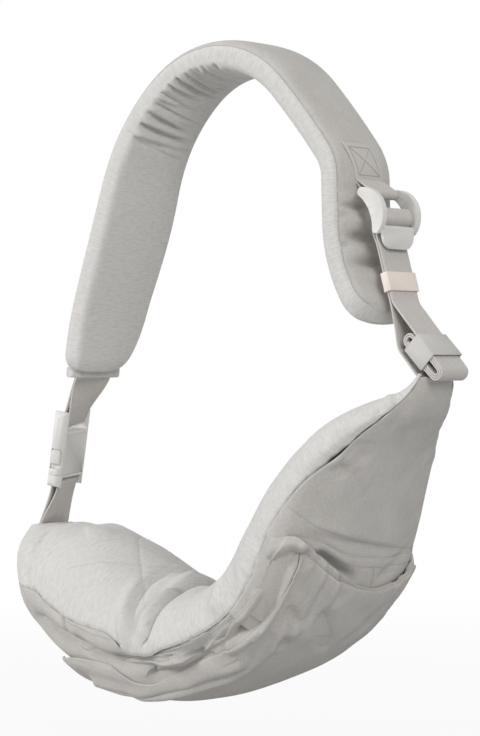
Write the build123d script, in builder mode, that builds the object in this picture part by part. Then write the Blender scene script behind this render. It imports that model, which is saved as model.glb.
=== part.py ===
"""One-shoulder padded sling: arched shoulder pad, side-release buckle, ladder lock and seat pouch.

Row frame: origin at the shoulder rest, the top of the pad's inner face. +Z is up, the loop lies in
the XZ plane with the buckle on -X and the ladder lock on +X, and Y runs across the straps.
"""

from build123d import *
from math import atan2, cos, degrees, radians, sin
import os

# ---------------------------------------------------------------- driving dimensions (mm)
CLOTH = 2.0  # cover cloth with its seam allowance
GAP = 0.3  # clearance between pieces that move on or lie over each other

WEB_WIDTH = 38.0
WEB_THICK = 1.8

PAD_WIDTH = 80.0
PAD_THICK = 26.0
PAD_CORNER = 26.0  # corner radius of the pad's two ends, seen from outside
PAD_LEFT = ((73, 38.5), (110, 32), (109, 0), (75, 14))  # bends from the top: length, turn
PAD_RIGHT = ((21, -11.5), (65, -35), (80, -6), (26, -36), (38, 0), (64, 28), (32, 23))

BINDING_WIDTH = 58.0
BINDING_THICK = 20.0
BINDING_HEIGHT = 7.0
BINDING_SHIFT = 5.0  # from the pad's middle towards its outer face
WEB_INSET = 5.0  # how far a webbing end is sewn into the piece that holds it

BUCKLE_MOUTH = (-234.0, -376.0)  # x, z of the middle of the socket's mouth
BUCKLE_TILT = 10.0  # degrees, top towards the inside of the loop
BUCKLE_YAW = 18.0  # degrees, turn of the buckle on its own long axis
BUCKLE_WIDTH = 54.0
BUCKLE_THICK = 15.0
SOCKET_LENGTH = 63.0
SOCKET_BODY = 44.0  # hollow housing, up from the mouth
SOCKET_WALL = 2.4
SOCKET_RAIL = 7.0  # width of the rails beside the webbing bar
FACE_RECESS = 1.0  # the flat faces lie under the rounded rails
FACE_LEDGE = 3.0  # raised ledge across each face at the housing's top
BAR_RADIUS = 2.1
SOCKET_BAR_UP = 51.0  # height of the webbing bar over the mouth
WINDOW_LOW = 6.0  # side windows, heights over the mouth
WINDOW_HIGH = 26.0
WINDOW_BITE = 4.0  # depth of the finger scoops beside the windows
PLUG_WALL = 2.6
PLUG_BAR_DOWN = 8.6  # webbing bar under the mouth
PLUG_LENGTH = 12.0
PRONG_LENGTH = 33.0
PRONG_WIDTH = 3.4
PRONG_FIT = 0.5  # play of the prongs in the housing, each side
PRONG_TAB_LOW = 10.5
PRONG_TAB_HIGH = 25.0
PRONG_TAB_INSET = 0.4  # press tab under the housing's side
PRONG_EASE = 2.0  # lead-in at the prong's nose
GUIDE_WIDTH = 6.0
GUIDE_LENGTH = 34.0

LOCK_BAR = (166.0, -120.0)  # x, z of the ladder lock's top bar
LOCK_TILT = 24.0  # degrees, lower end outwards
LOCK_WIDTH = 54.0
LOCK_RAIL = 6.0
LOCK_BULB = 5.0  # radius of the rail's rounded top
LOCK_FOOT = 4.4  # radius of the rail's rounded foot
LOCK_LENGTH = 35.0  # top bar to the middle of the foot
LOCK_BELLY = 15.5  # reach of the rail's outer curve
LOCK_WAIST = 0.5  # reach of the rail's inner curve
LOCK_BAR_RADIUS = 2.4
CENTRE_BAR = (6.0, -24.0)  # x out, z down from the top bar
CENTRE_BAR_DEPTH = 4.4
CENTRE_BAR_HEIGHT = 8.5
TAB_LENGTH = 20.0
TAB_THICK = 2.8
TAB_CORNER = 12.0
TAB_ANGLE = -113.0  # direction of the thumb tab in the lock's side view
TAB_OFFSET = (3.6, 1.2)  # tab's top edge from the middle of the foot
BIGHT_CLOSE = (9.0, 12.0)  # where the strap's two runs meet under the centre bar
STRAP_CUT = 46.0  # where the strap leaves the lock, under the top bar
STRAP_SPLIT = 0.4  # between the load run and the tail run
CUT_GAP = 0.9  # swing room under the strap's bight

PATCH_START = 4.0  # anchor patch on the pad, before the end of its third bend

PAIR_END = (192.0, -216.0)  # x, z where the straight pair of straps ends
KEEPER_DROP = 33.0  # keeper's middle, along the straps from the lock
KEEPER_HEIGHT = 17.0
KEEPER_WALL = 1.6
LOAD_ROUTE = ((196.0, -238.0), (199.0, -256.0))  # on towards the pouch
LOAD_RADII = (40, 30, 16)
TAIL_RADII = (14, 8)

ROLL_CENTRE = (225.0, -262.0)
ROLL_TILT = -45.0
ROLL_LENGTH = 54.0
ROLL_THICK = 15.0
ROLL_SLACK = 0.35  # between the turns of the rolled tail
ELASTIC_WIDTH = 25.0
ELASTIC_THICK = 1.2
ELASTIC_UP = 4.0  # middle of the elastic, up the roll from its centre

POUCH_WIDTH = 202.0
POUCH_RISE = 74.0  # greatest height of the lined inner side over the seam
POUCH_DROP = 59.0  # greatest depth of the outer side under the seam
PANEL_GAP = 0.3
POCKET_THICK = 3.0
HEM_WIDTH = 12.0
HEM_THICK = 2.4
TAB_SLEEVE = 10.0  # length of the sewn sleeves at the pouch's ends
SLEEVE_WIDTH = 54.0
SLEEVE_THICK_BUCKLE = 20.0  # the strap enters it turned, so it is the thicker one
SLEEVE_THICK_LOCK = 15.0

# Stations of the pouch from the buckle's end to the lock's end:
# x, z, heading in degrees, and width, rise and drop as shares of the greatest ones.
POUCH_STATIONS = (
    (-255, -442, -80, 0.36, 0.30, 0.22),
    (-243, -470, -52, 0.55, 0.78, 0.34),
    (-204, -496, -20, 0.71, 1.00, 0.68),
    (-140, -513, -10, 0.84, 0.95, 1.00),
    (-61, -525, -4, 0.92, 0.66, 0.97),
    (22, -512, 20, 0.98, 0.68, 0.81),
    (86, -472, 45, 1.00, 0.81, 0.81),
    (122, -410, 66, 0.96, 0.81, 0.70),
    (155, -352, 50, 0.82, 0.57, 0.48),
    (190, -318, 42, 0.56, 0.35, 0.25),
    (221, -290, 64, 0.30, 0.16, 0.15),
)
# The pocket's upper edge seen from the side, from its fold on the buckle's side to its mouth.
POCKET_EDGE = ((-168, -538), (-118, -546), (-58, -560), (27, -536), (80, -504), (124, -446))
POCKET_MOUTH = 12.0  # degrees, lean of the mouth's edge


# ---------------------------------------------------------------- helpers
def heading(angle):
    """Unit vector in a sketch at an angle from its first axis."""
    return Vector(cos(radians(angle)), sin(radians(angle)))


def bend_run(start, angle, bends, side):
    """Draws a chain of bends moved sideways (left is positive) and returns its end and angle."""
    point = Vector(*start) + heading(angle + 90) * side
    for length, turn in bends:
        if turn == 0:
            line = Line(point, point + heading(angle) * length)
        else:
            radius = length / abs(radians(turn)) - side * (1 if turn > 0 else -1)
            line = JernArc(point, heading(angle), radius, turn)
        point = line @ 1
        angle += turn
    return point, angle


def run_end(start, angle, bends):
    """Where a chain of bends ends, without drawing it."""
    with BuildLine():
        end, angle = bend_run(start, angle, bends, 0)
    return end, angle


def shorten(bends, cut):
    """The same bends with the last one cut short."""
    length, turn = bends[-1]
    share = (length - cut) / length
    return bends[:-1] + ((length - cut, turn * share),)


PAD_TOP = (0, PAD_THICK / 2)


def pad_band(low, high, cut=0.0):
    """The face between two offsets of the pad's centre line; outwards is positive."""
    left = shorten(PAD_LEFT, cut)
    right = shorten(PAD_RIGHT, cut)
    with BuildSketch(Plane.XZ) as band:
        with BuildLine():
            ends = []
            for offset in (low, high):
                left_end, _ = bend_run(PAD_TOP, 180, left, -offset)
                right_end, _ = bend_run(PAD_TOP, 0, right, offset)
                ends.append((left_end, right_end))
            Line(ends[0][0], ends[1][0])
            Line(ends[0][1], ends[1][1])
        make_face()
    return band.sketch


def frame_at(x, z, tilt, yaw=0.0):
    """Plane with its Z along a piece that leans by tilt towards +X, turned by yaw about that Z."""
    up = Vector(sin(radians(tilt)), 0, cos(radians(tilt)))
    across = Vector(cos(radians(tilt)), 0, -sin(radians(tilt)))
    x_dir = across * cos(radians(yaw)) + Vector(0, 1, 0) * sin(radians(yaw))
    return Plane(origin=(x, 0, z), x_dir=x_dir, z_dir=up)


def local(frame, x, z):
    """A world point of the XZ plane as sketch coordinates in a frame's own XZ plane."""
    point = frame.to_local_coords(Vector(x, 0, z))
    return (point.X, point.Z)


def seat(plane, frame):
    """A plane of a frame's own axes, placed with that frame."""
    return Plane(frame.location * plane.location)


def side_plane(frame):
    """A frame's own XZ plane, for profiles that are extruded across the straps."""
    return seat(Plane.XZ, frame)


def level_plane(frame, height):
    """A frame's own XY plane at a height along it."""
    return seat(Plane.XY.offset(height), frame)


def end_trim(frame, inset):
    """Profile that trims one end of the pad to its round corners, less an inset."""
    with BuildSketch(seat(Plane.YZ, frame)) as trim:
        with Locations((0, PAD_CORNER / 2 - 2)):
            Rectangle(PAD_WIDTH + 4, PAD_CORNER + 4)
        with Locations((0, PAD_CORNER * 1.5 + inset)):
            RectangleRounded(
                PAD_WIDTH - 2 * inset, PAD_CORNER * 3, PAD_CORNER - inset, mode=Mode.SUBTRACT
            )
    return trim.sketch


def webbing_loop(frame, bar, bar_radius, anchor, extra):
    """Profile of a folded strap: round a bar and back to an anchor point, both in the frame."""
    inner = bar_radius + GAP
    towards = Vector(*anchor) - Vector(*bar)
    angle = degrees(atan2(towards.Y, towards.X))
    tip = Vector(*anchor) + towards.normalized() * extra
    with BuildSketch(side_plane(frame)) as loop:
        with Locations(bar):
            Circle(inner + WEB_THICK)
        with Locations(Location((tip.X, tip.Y), angle)):
            Rectangle(0.2, 2 * WEB_THICK, align=(Align.MAX, Align.CENTER))
        make_hull()
        eye_tip = Vector(*anchor) - towards.normalized()
        eye = [Pos(*bar) * Edge.make_circle(inner), Pos(eye_tip) * Edge.make_circle(0.05)]
        make_hull(eye, mode=Mode.SUBTRACT)
    return loop.sketch


def strip(points, radii):
    """Profile of a strap that runs along points of the XZ plane."""
    with BuildSketch(Plane.XZ) as run:
        with BuildLine():
            FilletPolyline(*points, radius=radii)
        trace(line_width=WEB_THICK)
    return run.sketch


BUCKLE = frame_at(BUCKLE_MOUTH[0], BUCKLE_MOUTH[1], BUCKLE_TILT, BUCKLE_YAW)
LOCK = frame_at(LOCK_BAR[0], LOCK_BAR[1], -LOCK_TILT)
ROLL = frame_at(ROLL_CENTRE[0], ROLL_CENTRE[1], ROLL_TILT)

# Frames of the pad's two ends, with Z back along the pad.
pad_end, pad_end_angle = run_end(PAD_TOP, 180, PAD_LEFT)
PAD_END = frame_at(pad_end.X, pad_end.Y, 270 - pad_end_angle)
pad_tip, pad_tip_angle = run_end(PAD_TOP, 0, PAD_RIGHT)
PAD_TIP = frame_at(pad_tip.X, pad_tip.Y, -90 - pad_tip_angle)


# ---------------------------------------------------------------- shoulder pad
with BuildPart() as pad_foam:
    extrude(
        pad_band(CLOTH - PAD_THICK / 2, PAD_THICK / 2 - CLOTH, CLOTH),
        amount=PAD_WIDTH / 2 - CLOTH,
        both=True,
    )
    for end in (PAD_END, PAD_TIP):
        extrude(end_trim(end, CLOTH), amount=PAD_THICK, both=True, mode=Mode.SUBTRACT)
pad_foam.part.label = "pad_foam"

with BuildPart() as pad_lining:
    extrude(pad_band(-PAD_THICK / 2, PAD_THICK / 2 - CLOTH), amount=PAD_WIDTH / 2, both=True)
    for end in (PAD_END, PAD_TIP):
        extrude(end_trim(end, 0), amount=PAD_THICK, both=True, mode=Mode.SUBTRACT)
    add(pad_foam.part, mode=Mode.SUBTRACT)
pad_lining.part.label = "pad_lining"

with BuildPart() as pad_shell:
    extrude(pad_band(PAD_THICK / 2 - CLOTH, PAD_THICK / 2), amount=PAD_WIDTH / 2, both=True)
    for end in (PAD_END, PAD_TIP):
        extrude(end_trim(end, 0), amount=PAD_THICK, both=True, mode=Mode.SUBTRACT)
pad_shell.part.label = "pad_shell"


# ---------------------------------------------------------------- buckle
socket_bar = (0, SOCKET_BAR_UP)
binding_foot = PAD_END.from_local_coords(Vector(-BINDING_SHIFT, 0, -BINDING_HEIGHT))
binding_anchor = local(BUCKLE, binding_foot.X, binding_foot.Z)
with BuildPart() as buckle_webbing_upper:
    fold = webbing_loop(BUCKLE, socket_bar, BAR_RADIUS, binding_anchor, WEB_INSET)
    extrude(fold, amount=WEB_WIDTH / 2, both=True)
buckle_webbing_upper.part.label = "buckle_webbing_upper"

with BuildPart() as pad_end_binding:
    with BuildSketch(level_plane(PAD_END, 0)):
        with Locations((-BINDING_SHIFT, 0)):
            RectangleRounded(BINDING_THICK, BINDING_WIDTH, BINDING_THICK / 3)
    extrude(amount=-BINDING_HEIGHT)
    add(buckle_webbing_upper.part, mode=Mode.SUBTRACT)
pad_end_binding.part.label = "pad_end_binding"

half_width = BUCKLE_WIDTH / 2
half_thick = BUCKLE_THICK / 2
inner_half = half_width - SOCKET_WALL  # half width of the housing's hollow
hollow_half = half_thick - SOCKET_WALL
rail_inner = half_width - SOCKET_RAIL
with BuildPart() as buckle_socket:
    with BuildSketch(level_plane(BUCKLE, 0)):
        RectangleRounded(BUCKLE_THICK, BUCKLE_WIDTH, half_thick - 1)
    extrude(amount=SOCKET_LENGTH)
    # rounded upper corners of the rails
    with BuildSketch(seat(Plane.YZ.offset(-BUCKLE_THICK), BUCKLE)):
        with Locations((0, SOCKET_LENGTH / 2)):
            RectangleRounded(BUCKLE_WIDTH, SOCKET_LENGTH, SOCKET_RAIL - 0.5)
        with Locations((0, SOCKET_LENGTH / 4)):
            Rectangle(BUCKLE_WIDTH, SOCKET_LENGTH / 2)
    extrude(amount=2 * BUCKLE_THICK, mode=Mode.INTERSECT)
    # open frame above the housing, crossed by the webbing bar
    with BuildSketch(seat(Plane.YZ, BUCKLE)):
        with Locations((0, (SOCKET_BODY + SOCKET_LENGTH) / 2 + 1)):
            Rectangle(2 * rail_inner, SOCKET_LENGTH - SOCKET_BODY + 2)
    extrude(amount=BUCKLE_THICK, both=True, mode=Mode.SUBTRACT)
    with BuildSketch(side_plane(BUCKLE)):
        with Locations(socket_bar):
            Circle(BAR_RADIUS)
    extrude(amount=rail_inner + 1, both=True)
    # hollow housing, open at the mouth
    with BuildSketch(level_plane(BUCKLE, 0)):
        RectangleRounded(2 * hollow_half, 2 * inner_half, 2 * PRONG_FIT)
    extrude(amount=SOCKET_BODY - SOCKET_WALL, mode=Mode.SUBTRACT)
    # flat faces set back between the rails, under a ledge
    face_top = SOCKET_BODY - FACE_LEDGE
    with BuildSketch(level_plane(BUCKLE, -1)):
        for side in (-1, 1):
            with Locations((side * half_thick, 0)):
                Rectangle(2 * FACE_RECESS, 2 * rail_inner)
    extrude(amount=face_top + 1, mode=Mode.SUBTRACT)
    # a window in each side, with a finger scoop bitten out of both faces
    window_mid = (WINDOW_LOW + WINDOW_HIGH) / 2
    with BuildSketch(seat(Plane.YZ, BUCKLE)):
        with Locations((-half_width, window_mid), (half_width, window_mid)):
            Ellipse(WINDOW_BITE, (WINDOW_HIGH - WINDOW_LOW) / 2)
    extrude(amount=BUCKLE_THICK, both=True, mode=Mode.SUBTRACT)
    with BuildSketch(seat(Plane.YZ, BUCKLE)):
        with Locations((0, window_mid)):
            Rectangle(BUCKLE_WIDTH + 2, WINDOW_HIGH - WINDOW_LOW)
    extrude(amount=hollow_half, both=True, mode=Mode.SUBTRACT)
buckle_socket.part.label = "buckle_socket"

plug_bar = (0, -PLUG_BAR_DOWN)
guide_half = hollow_half - PRONG_FIT
with BuildPart() as buckle_plug:
    # shoulders and stop wall under the mouth
    with BuildSketch(level_plane(BUCKLE, -GAP)):
        RectangleRounded(BUCKLE_THICK, BUCKLE_WIDTH, half_thick - 1)
    extrude(amount=-(PLUG_LENGTH - GAP))
    with BuildSketch(seat(Plane.YZ.offset(-BUCKLE_THICK), BUCKLE)):
        with Locations((0, -PLUG_LENGTH / 2)):
            RectangleRounded(BUCKLE_WIDTH, PLUG_LENGTH, SOCKET_RAIL - 2)
        with Locations((0, -PLUG_LENGTH / 4)):
            Rectangle(BUCKLE_WIDTH, PLUG_LENGTH / 2)
    extrude(amount=2 * BUCKLE_THICK, mode=Mode.INTERSECT)
    with BuildSketch(seat(Plane.YZ, BUCKLE)):
        with Locations((0, -(PLUG_WALL + PLUG_LENGTH) / 2 - 1)):
            Rectangle(2 * rail_inner, PLUG_LENGTH - PLUG_WALL + 2)
    extrude(amount=BUCKLE_THICK, both=True, mode=Mode.SUBTRACT)
    with BuildSketch(side_plane(BUCKLE)):
        with Locations(plug_bar):
            Circle(BAR_RADIUS)
    extrude(amount=rail_inner + 1, both=True)
    # centre guide that steers the plug into the housing
    with BuildSketch(seat(Plane.YZ, BUCKLE)):
        with BuildLine():
            Polyline(
                (-GUIDE_WIDTH / 2, -GAP - PLUG_WALL / 2),
                (GUIDE_WIDTH / 2, -GAP - PLUG_WALL / 2),
                (GUIDE_WIDTH / 2, GUIDE_LENGTH - GUIDE_WIDTH / 2),
                (GUIDE_WIDTH / 4, GUIDE_LENGTH),
                (-GUIDE_WIDTH / 4, GUIDE_LENGTH),
                (-GUIDE_WIDTH / 2, GUIDE_LENGTH - GUIDE_WIDTH / 2),
                close=True,
            )
        make_face()
    extrude(amount=guide_half, both=True)
buckle_plug.part.label = "buckle_plug"

# Springy prongs: a slim arm that swells into the press tab in the window.
prong_root = inner_half - PRONG_FIT - PRONG_WIDTH / 2  # y of the arm's middle at its root
prongs = {}
for name, side in (("buckle_prong_near", -1), ("buckle_prong_far", 1)):
    with BuildPart() as prong:
        with BuildSketch(seat(Plane.YZ, BUCKLE)):
            with BuildLine():
                inner = side * (prong_root - PRONG_WIDTH / 2)
                outer = side * (prong_root + PRONG_WIDTH / 2)
                tab = side * (half_width - PRONG_TAB_INSET)
                tip = inner - side * PRONG_EASE / 2
                root_z = PRONG_WIDTH / 2
                root_arc = ThreePointArc((outer, root_z), (side * prong_root, 0), (inner, root_z))
                back = Line(root_arc @ 1, (tip, PRONG_LENGTH - PRONG_EASE))
                nose = Line(back @ 1, (tip + side * PRONG_EASE, PRONG_LENGTH))
                crown = Line(nose @ 1, (outer, PRONG_TAB_HIGH + PRONG_EASE))
                step = Line(crown @ 1, (outer, PRONG_TAB_HIGH))
                high = Line(step @ 1, (tab, PRONG_TAB_HIGH - PRONG_EASE))
                press = Line(high @ 1, (tab, PRONG_TAB_LOW + PRONG_EASE / 2))
                low = Line(press @ 1, (tab - side * PRONG_EASE / 2, PRONG_TAB_LOW))
                catch = Line(low @ 1, (outer, PRONG_TAB_LOW))
                Line(catch @ 1, root_arc @ 0)
            make_face()
        extrude(amount=guide_half, both=True)
    prong.part.label = name
    prongs[name] = prong.part

sleeve_left = Vector(POUCH_STATIONS[0][0], 0, POUCH_STATIONS[0][1])
SLEEVE_LEFT = frame_at(sleeve_left.X, sleeve_left.Z, -90 - POUCH_STATIONS[0][2])
sleeve_anchor = SLEEVE_LEFT.from_local_coords(Vector(0, 0, TAB_SLEEVE))
with BuildPart() as buckle_webbing_lower:
    anchor = local(BUCKLE, sleeve_anchor.X, sleeve_anchor.Z)
    fold = webbing_loop(BUCKLE, plug_bar, BAR_RADIUS, anchor, WEB_INSET)
    extrude(fold, amount=WEB_WIDTH / 2, both=True)
buckle_webbing_lower.part.label = "buckle_webbing_lower"


# ---------------------------------------------------------------- ladder lock and its anchor
lock_inner = LOCK_WIDTH / 2 - LOCK_RAIL
foot = (1.0, -LOCK_LENGTH)
with BuildPart() as ladder_lock:
    # curved side rails
    for side in (-1, 1):
        rail_side = seat(Plane.XZ.offset(-side * (lock_inner + LOCK_RAIL / 2)), LOCK)
        with BuildSketch(rail_side):
            with BuildLine():
                crown = Vector(0, LOCK_BULB)
                base = Vector(foot[0], foot[1] - LOCK_FOOT)
                outer = ThreePointArc(crown, (LOCK_BELLY, foot[1] / 2), base)
                bulb = CenterArc((0, 0), LOCK_BULB, 90, 90)
                heel = CenterArc(foot, LOCK_FOOT, 180, 90)
                ThreePointArc(bulb @ 1, (LOCK_WAIST, foot[1] / 2), heel @ 0)
            make_face()
        extrude(amount=LOCK_RAIL / 2, both=True)
    # top bar
    with BuildSketch(side_plane(LOCK)):
        Circle(LOCK_BAR_RADIUS)
    extrude(amount=lock_inner + 1, both=True)
    # flattened centre bar that the strap wraps
    with BuildSketch(side_plane(LOCK)):
        with Locations(CENTRE_BAR):
            SlotOverall(CENTRE_BAR_HEIGHT, CENTRE_BAR_DEPTH, rotation=90)
    extrude(amount=lock_inner + 1, both=True)
    # thumb tab: a plate with round corners hung from the foot of the rails
    tab_top = Vector(*foot) + Vector(*TAB_OFFSET)
    tab_tip = tab_top + heading(TAB_ANGLE) * TAB_LENGTH
    with BuildSketch(side_plane(LOCK)):
        with BuildLine():
            Line(tab_top, tab_tip)
        trace(line_width=TAB_THICK)
    extrude(amount=lock_inner + 0.5, both=True)
    tip_corners = [
        edge
        for edge in ladder_lock.edges().filter_by(GeomType.LINE)
        if abs(edge.length - TAB_THICK) < 0.01
        and local(LOCK, (edge @ 0.5).X, (edge @ 0.5).Z)[1] < tab_tip.Y + TAB_THICK
    ]
    fillet(tip_corners, TAB_CORNER)
ladder_lock.part.label = "ladder_lock"

# Patch of doubled webbing sewn on the pad, and the fold that holds the lock's top bar.
over_patch = PAD_RIGHT[:3]  # bends from the pad's top down to the patch
patch_bend, patch_angle = run_end(PAD_TOP, 0, shorten(over_patch, PATCH_START))
start_turn = over_patch[-1][1] * PATCH_START / over_patch[-1][0]
patch_bends = ((PATCH_START, start_turn), PAD_RIGHT[3])
with BuildPart() as anchor_webbing:
    with BuildSketch(Plane.XZ):
        with BuildLine():
            low_end, _ = bend_run(patch_bend, patch_angle, patch_bends, PAD_THICK / 2)
            high_end, _ = bend_run(patch_bend, patch_angle, patch_bends, PAD_THICK / 2 + 2 * WEB_THICK)
            start = patch_bend + heading(patch_angle + 90) * (PAD_THICK / 2)
            Line(start, start + heading(patch_angle + 90) * 2 * WEB_THICK)
            Line(low_end, high_end)
        make_face()
    extrude(amount=WEB_WIDTH / 2, both=True)
    fold = (low_end + high_end) * 0.5
    with BuildSketch(Plane.XZ):
        with Locations(LOCK_BAR):
            Circle(LOCK_BAR_RADIUS + GAP + WEB_THICK)
        with Locations((fold.X, fold.Y)):
            Circle(WEB_THICK)
        make_hull()
        eye = [
            Pos(*LOCK_BAR) * Edge.make_circle(LOCK_BAR_RADIUS + GAP),
            Pos(fold.X, fold.Y) * Edge.make_circle(0.05),
        ]
        make_hull(eye, mode=Mode.SUBTRACT)
    extrude(amount=WEB_WIDTH / 2, both=True)
    add(pad_shell.part, mode=Mode.SUBTRACT)
anchor_webbing.part.label = "anchor_webbing"


# ---------------------------------------------------------------- adjuster strap
half_web = WEB_THICK / 2
lane = (WEB_THICK + STRAP_SPLIT) / 2  # each run's middle from the pair's middle line
pair_x = tab_tip.X - TAB_THICK - WEB_THICK - STRAP_SPLIT
wrap = CENTRE_BAR_DEPTH / 2 + GAP + half_web
bar_x, bar_z = CENTRE_BAR
wrap_top = bar_z + CENTRE_BAR_HEIGHT / 2 + GAP + half_web
close_in, close_out = BIGHT_CLOSE
with BuildPart() as adjuster_strap_bight:
    with BuildSketch(side_plane(LOCK)):
        with BuildLine():
            FilletPolyline(
                (pair_x - lane, -STRAP_CUT),
                (pair_x - lane, bar_z - close_in),
                (bar_x - wrap, bar_z - GAP),
                (bar_x - wrap, wrap_top),
                (bar_x + wrap, wrap_top),
                (bar_x + wrap, bar_z - CENTRE_BAR_HEIGHT / 2 - half_web),
                (pair_x + lane, bar_z - close_out),
                (pair_x + lane, -STRAP_CUT),
                radius=(3, 3, wrap - 0.4, wrap - 0.4, 2.2, 2.2),
            )
        trace(line_width=WEB_THICK)
    extrude(amount=WEB_WIDTH / 2, both=True)
adjuster_strap_bight.part.label = "adjuster_strap_bight"

pair_top = LOCK.from_local_coords(Vector(pair_x, 0, -STRAP_CUT - CUT_GAP))
pair_dir = (Vector(PAIR_END[0], 0, PAIR_END[1]) - pair_top).normalized()
pair_out = Vector(-pair_dir.Z, 0, pair_dir.X)
pair_low = Vector(PAIR_END[0], 0, PAIR_END[1])


def lane_point(point, side):
    """A point moved from the pair's middle line into the lane of one run."""
    moved = point + pair_out * lane * side
    return (moved.X, moved.Z)


# The load run ends inside the sleeve at the pouch's end.
sleeve_x, sleeve_z, sleeve_angle = POUCH_STATIONS[-1][:3]
SLEEVE_RIGHT = frame_at(sleeve_x, sleeve_z, 90 - sleeve_angle)
sleeve_mouth = SLEEVE_RIGHT.from_local_coords(Vector(0, 0, TAB_SLEEVE - WEB_INSET))
load_end = (sleeve_mouth.X, sleeve_mouth.Z)

with BuildPart() as adjuster_strap_load:
    route = (lane_point(pair_top, -1), lane_point(pair_low, -1)) + LOAD_ROUTE + (load_end,)
    extrude(strip(route, LOAD_RADII), amount=WEB_WIDTH / 2, both=True)
adjuster_strap_load.part.label = "adjuster_strap_load"

# The tail run lies down on the outer flat of the roll.
on_roll = (ROLL_THICK + WEB_THICK) / 2
roll_points = [
    ROLL.from_local_coords(Vector(on_roll, 0, (ROLL_LENGTH - ROLL_THICK) / 2)),
    ROLL.from_local_coords(Vector(on_roll, 0, 0)),
]
roll_start, roll_end = [(point.X, point.Z) for point in roll_points]

with BuildPart() as adjuster_strap_tail:
    route = (lane_point(pair_top, 1), lane_point(pair_low, 1), roll_start, roll_end)
    extrude(strip(route, TAIL_RADII), amount=WEB_WIDTH / 2, both=True)
adjuster_strap_tail.part.label = "adjuster_strap_tail"

# Keeper: a flat band that slides on the pair of straps.
keeper_tilt = degrees(atan2(-pair_dir.X, -pair_dir.Z))
keeper_at = pair_top + pair_dir * KEEPER_DROP
KEEPER = frame_at(keeper_at.X, keeper_at.Z, keeper_tilt)
keeper_hole = (2 * lane + WEB_THICK + 2 * GAP, WEB_WIDTH + 2 * GAP)
with BuildPart() as strap_keeper:
    with BuildSketch(level_plane(KEEPER, -KEEPER_HEIGHT / 2)):
        RectangleRounded(keeper_hole[0] + 2 * KEEPER_WALL, keeper_hole[1] + 2 * KEEPER_WALL, KEEPER_WALL)
        Rectangle(*keeper_hole, mode=Mode.SUBTRACT)
    extrude(amount=KEEPER_HEIGHT)
strap_keeper.part.label = "strap_keeper"

# The spare tail, rolled flat, and the elastic band round the roll.
with BuildPart() as strap_roll:
    roll_pitch = WEB_THICK + ROLL_SLACK
    run = (ROLL_LENGTH - ROLL_THICK) / 2
    reach = (ROLL_THICK - WEB_THICK) / 2
    with BuildSketch(side_plane(ROLL)):
        with BuildLine():
            while reach > WEB_THICK / 2 + ROLL_SLACK:
                Line((reach, run), (reach, -run))
                low_turn = CenterArc((0, -run), reach, 0, -180)
                Line(low_turn @ 1, (-reach, run))
                if reach > roll_pitch:
                    CenterArc((-roll_pitch / 2, run), reach - roll_pitch / 2, 180, -180)
                reach -= roll_pitch
        trace(line_width=WEB_THICK)
    extrude(amount=WEB_WIDTH / 2, both=True)
    add(adjuster_strap_tail.part, mode=Mode.SUBTRACT)
strap_roll.part.label = "strap_roll"

# the elastic's hole also takes the tail where it lies on the roll
band_hole = (ROLL_THICK + WEB_THICK + 2 * GAP, WEB_WIDTH + 2 * GAP)
with BuildPart() as tail_elastic:
    with BuildSketch(level_plane(ROLL, ELASTIC_UP - ELASTIC_WIDTH / 2)):
        with Locations((WEB_THICK / 2, 0)):
            Rectangle(band_hole[0] + 2 * ELASTIC_THICK, band_hole[1] + 2 * ELASTIC_THICK)
            Rectangle(*band_hole, mode=Mode.SUBTRACT)
    extrude(amount=ELASTIC_WIDTH)
tail_elastic.part.label = "tail_elastic"


# ---------------------------------------------------------------- seat pouch
def station_plane(index):
    """Plane across the pouch: sketch X along Y, sketch Y towards the inside of the loop."""
    x, z, angle, _, _, _ = POUCH_STATIONS[index]
    forward = Vector(cos(radians(angle)), 0, sin(radians(angle)))
    return Plane(origin=(x, 0, z), x_dir=(0, 1, 0), z_dir=forward)


def station_radii(index, inset):
    """Half width, rise and drop of a station, all made smaller by an inset."""
    _, _, _, width, rise, drop = POUCH_STATIONS[index]
    return (
        POUCH_WIDTH * width / 2 - inset,
        POUCH_RISE * rise - inset,
        POUCH_DROP * drop - inset,
    )


ALL_STATIONS = range(len(POUCH_STATIONS))


def crescent(index, start, size, low, high, seam=0.0):
    """Face between two insets of a station over part of its outline."""
    half_in, rise_in, drop_in = station_radii(index, low)
    half_out, rise_out, drop_out = station_radii(index, high)
    upper = start < 180
    with BuildSketch(station_plane(index)) as face:
        with BuildLine():
            inner = EllipticalCenterArc(
                (0, seam), half_in, rise_in if upper else drop_in, start, arc_size=size
            )
            outer = EllipticalCenterArc(
                (0, seam), half_out, rise_out if upper else drop_out, start, arc_size=size
            )
            Line(inner @ 0, outer @ 0)
            Line(inner @ 1, outer @ 1)
        make_face()
    return face.sketch


with BuildPart() as pouch_lining:
    loft([crescent(index, 0, 180, CLOTH, 0) for index in ALL_STATIONS])
pouch_lining.part.label = "pouch_lining"

with BuildPart() as pouch_shell:
    loft([crescent(index, 180, 180, CLOTH, 0, -PANEL_GAP) for index in ALL_STATIONS])
    add(pouch_lining.part, mode=Mode.SUBTRACT)
pouch_shell.part.label = "pouch_shell"

with BuildPart() as pouch_padding:
    for index in ALL_STATIONS:
        half, rise, drop = station_radii(index, CLOTH + PANEL_GAP)
        with BuildSketch(station_plane(index)):
            with BuildLine():
                EllipticalCenterArc((0, 0), half, rise, 0, arc_size=180)
                EllipticalCenterArc((0, 0), half, drop, 180, arc_size=180)
            make_face()
    loft()
    add(pouch_lining.part, mode=Mode.SUBTRACT)
    add(pouch_shell.part, mode=Mode.SUBTRACT)
pouch_padding.part.label = "pouch_padding"


def pocket_layer(thick):
    """Solid of a layer laid over the whole shell."""
    layers = [
        crescent(index, 180, 180, -PANEL_GAP, -thick, -PANEL_GAP) for index in ALL_STATIONS
    ]
    return Solid.make_loft([layer.face().outer_wire() for layer in layers])


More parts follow.
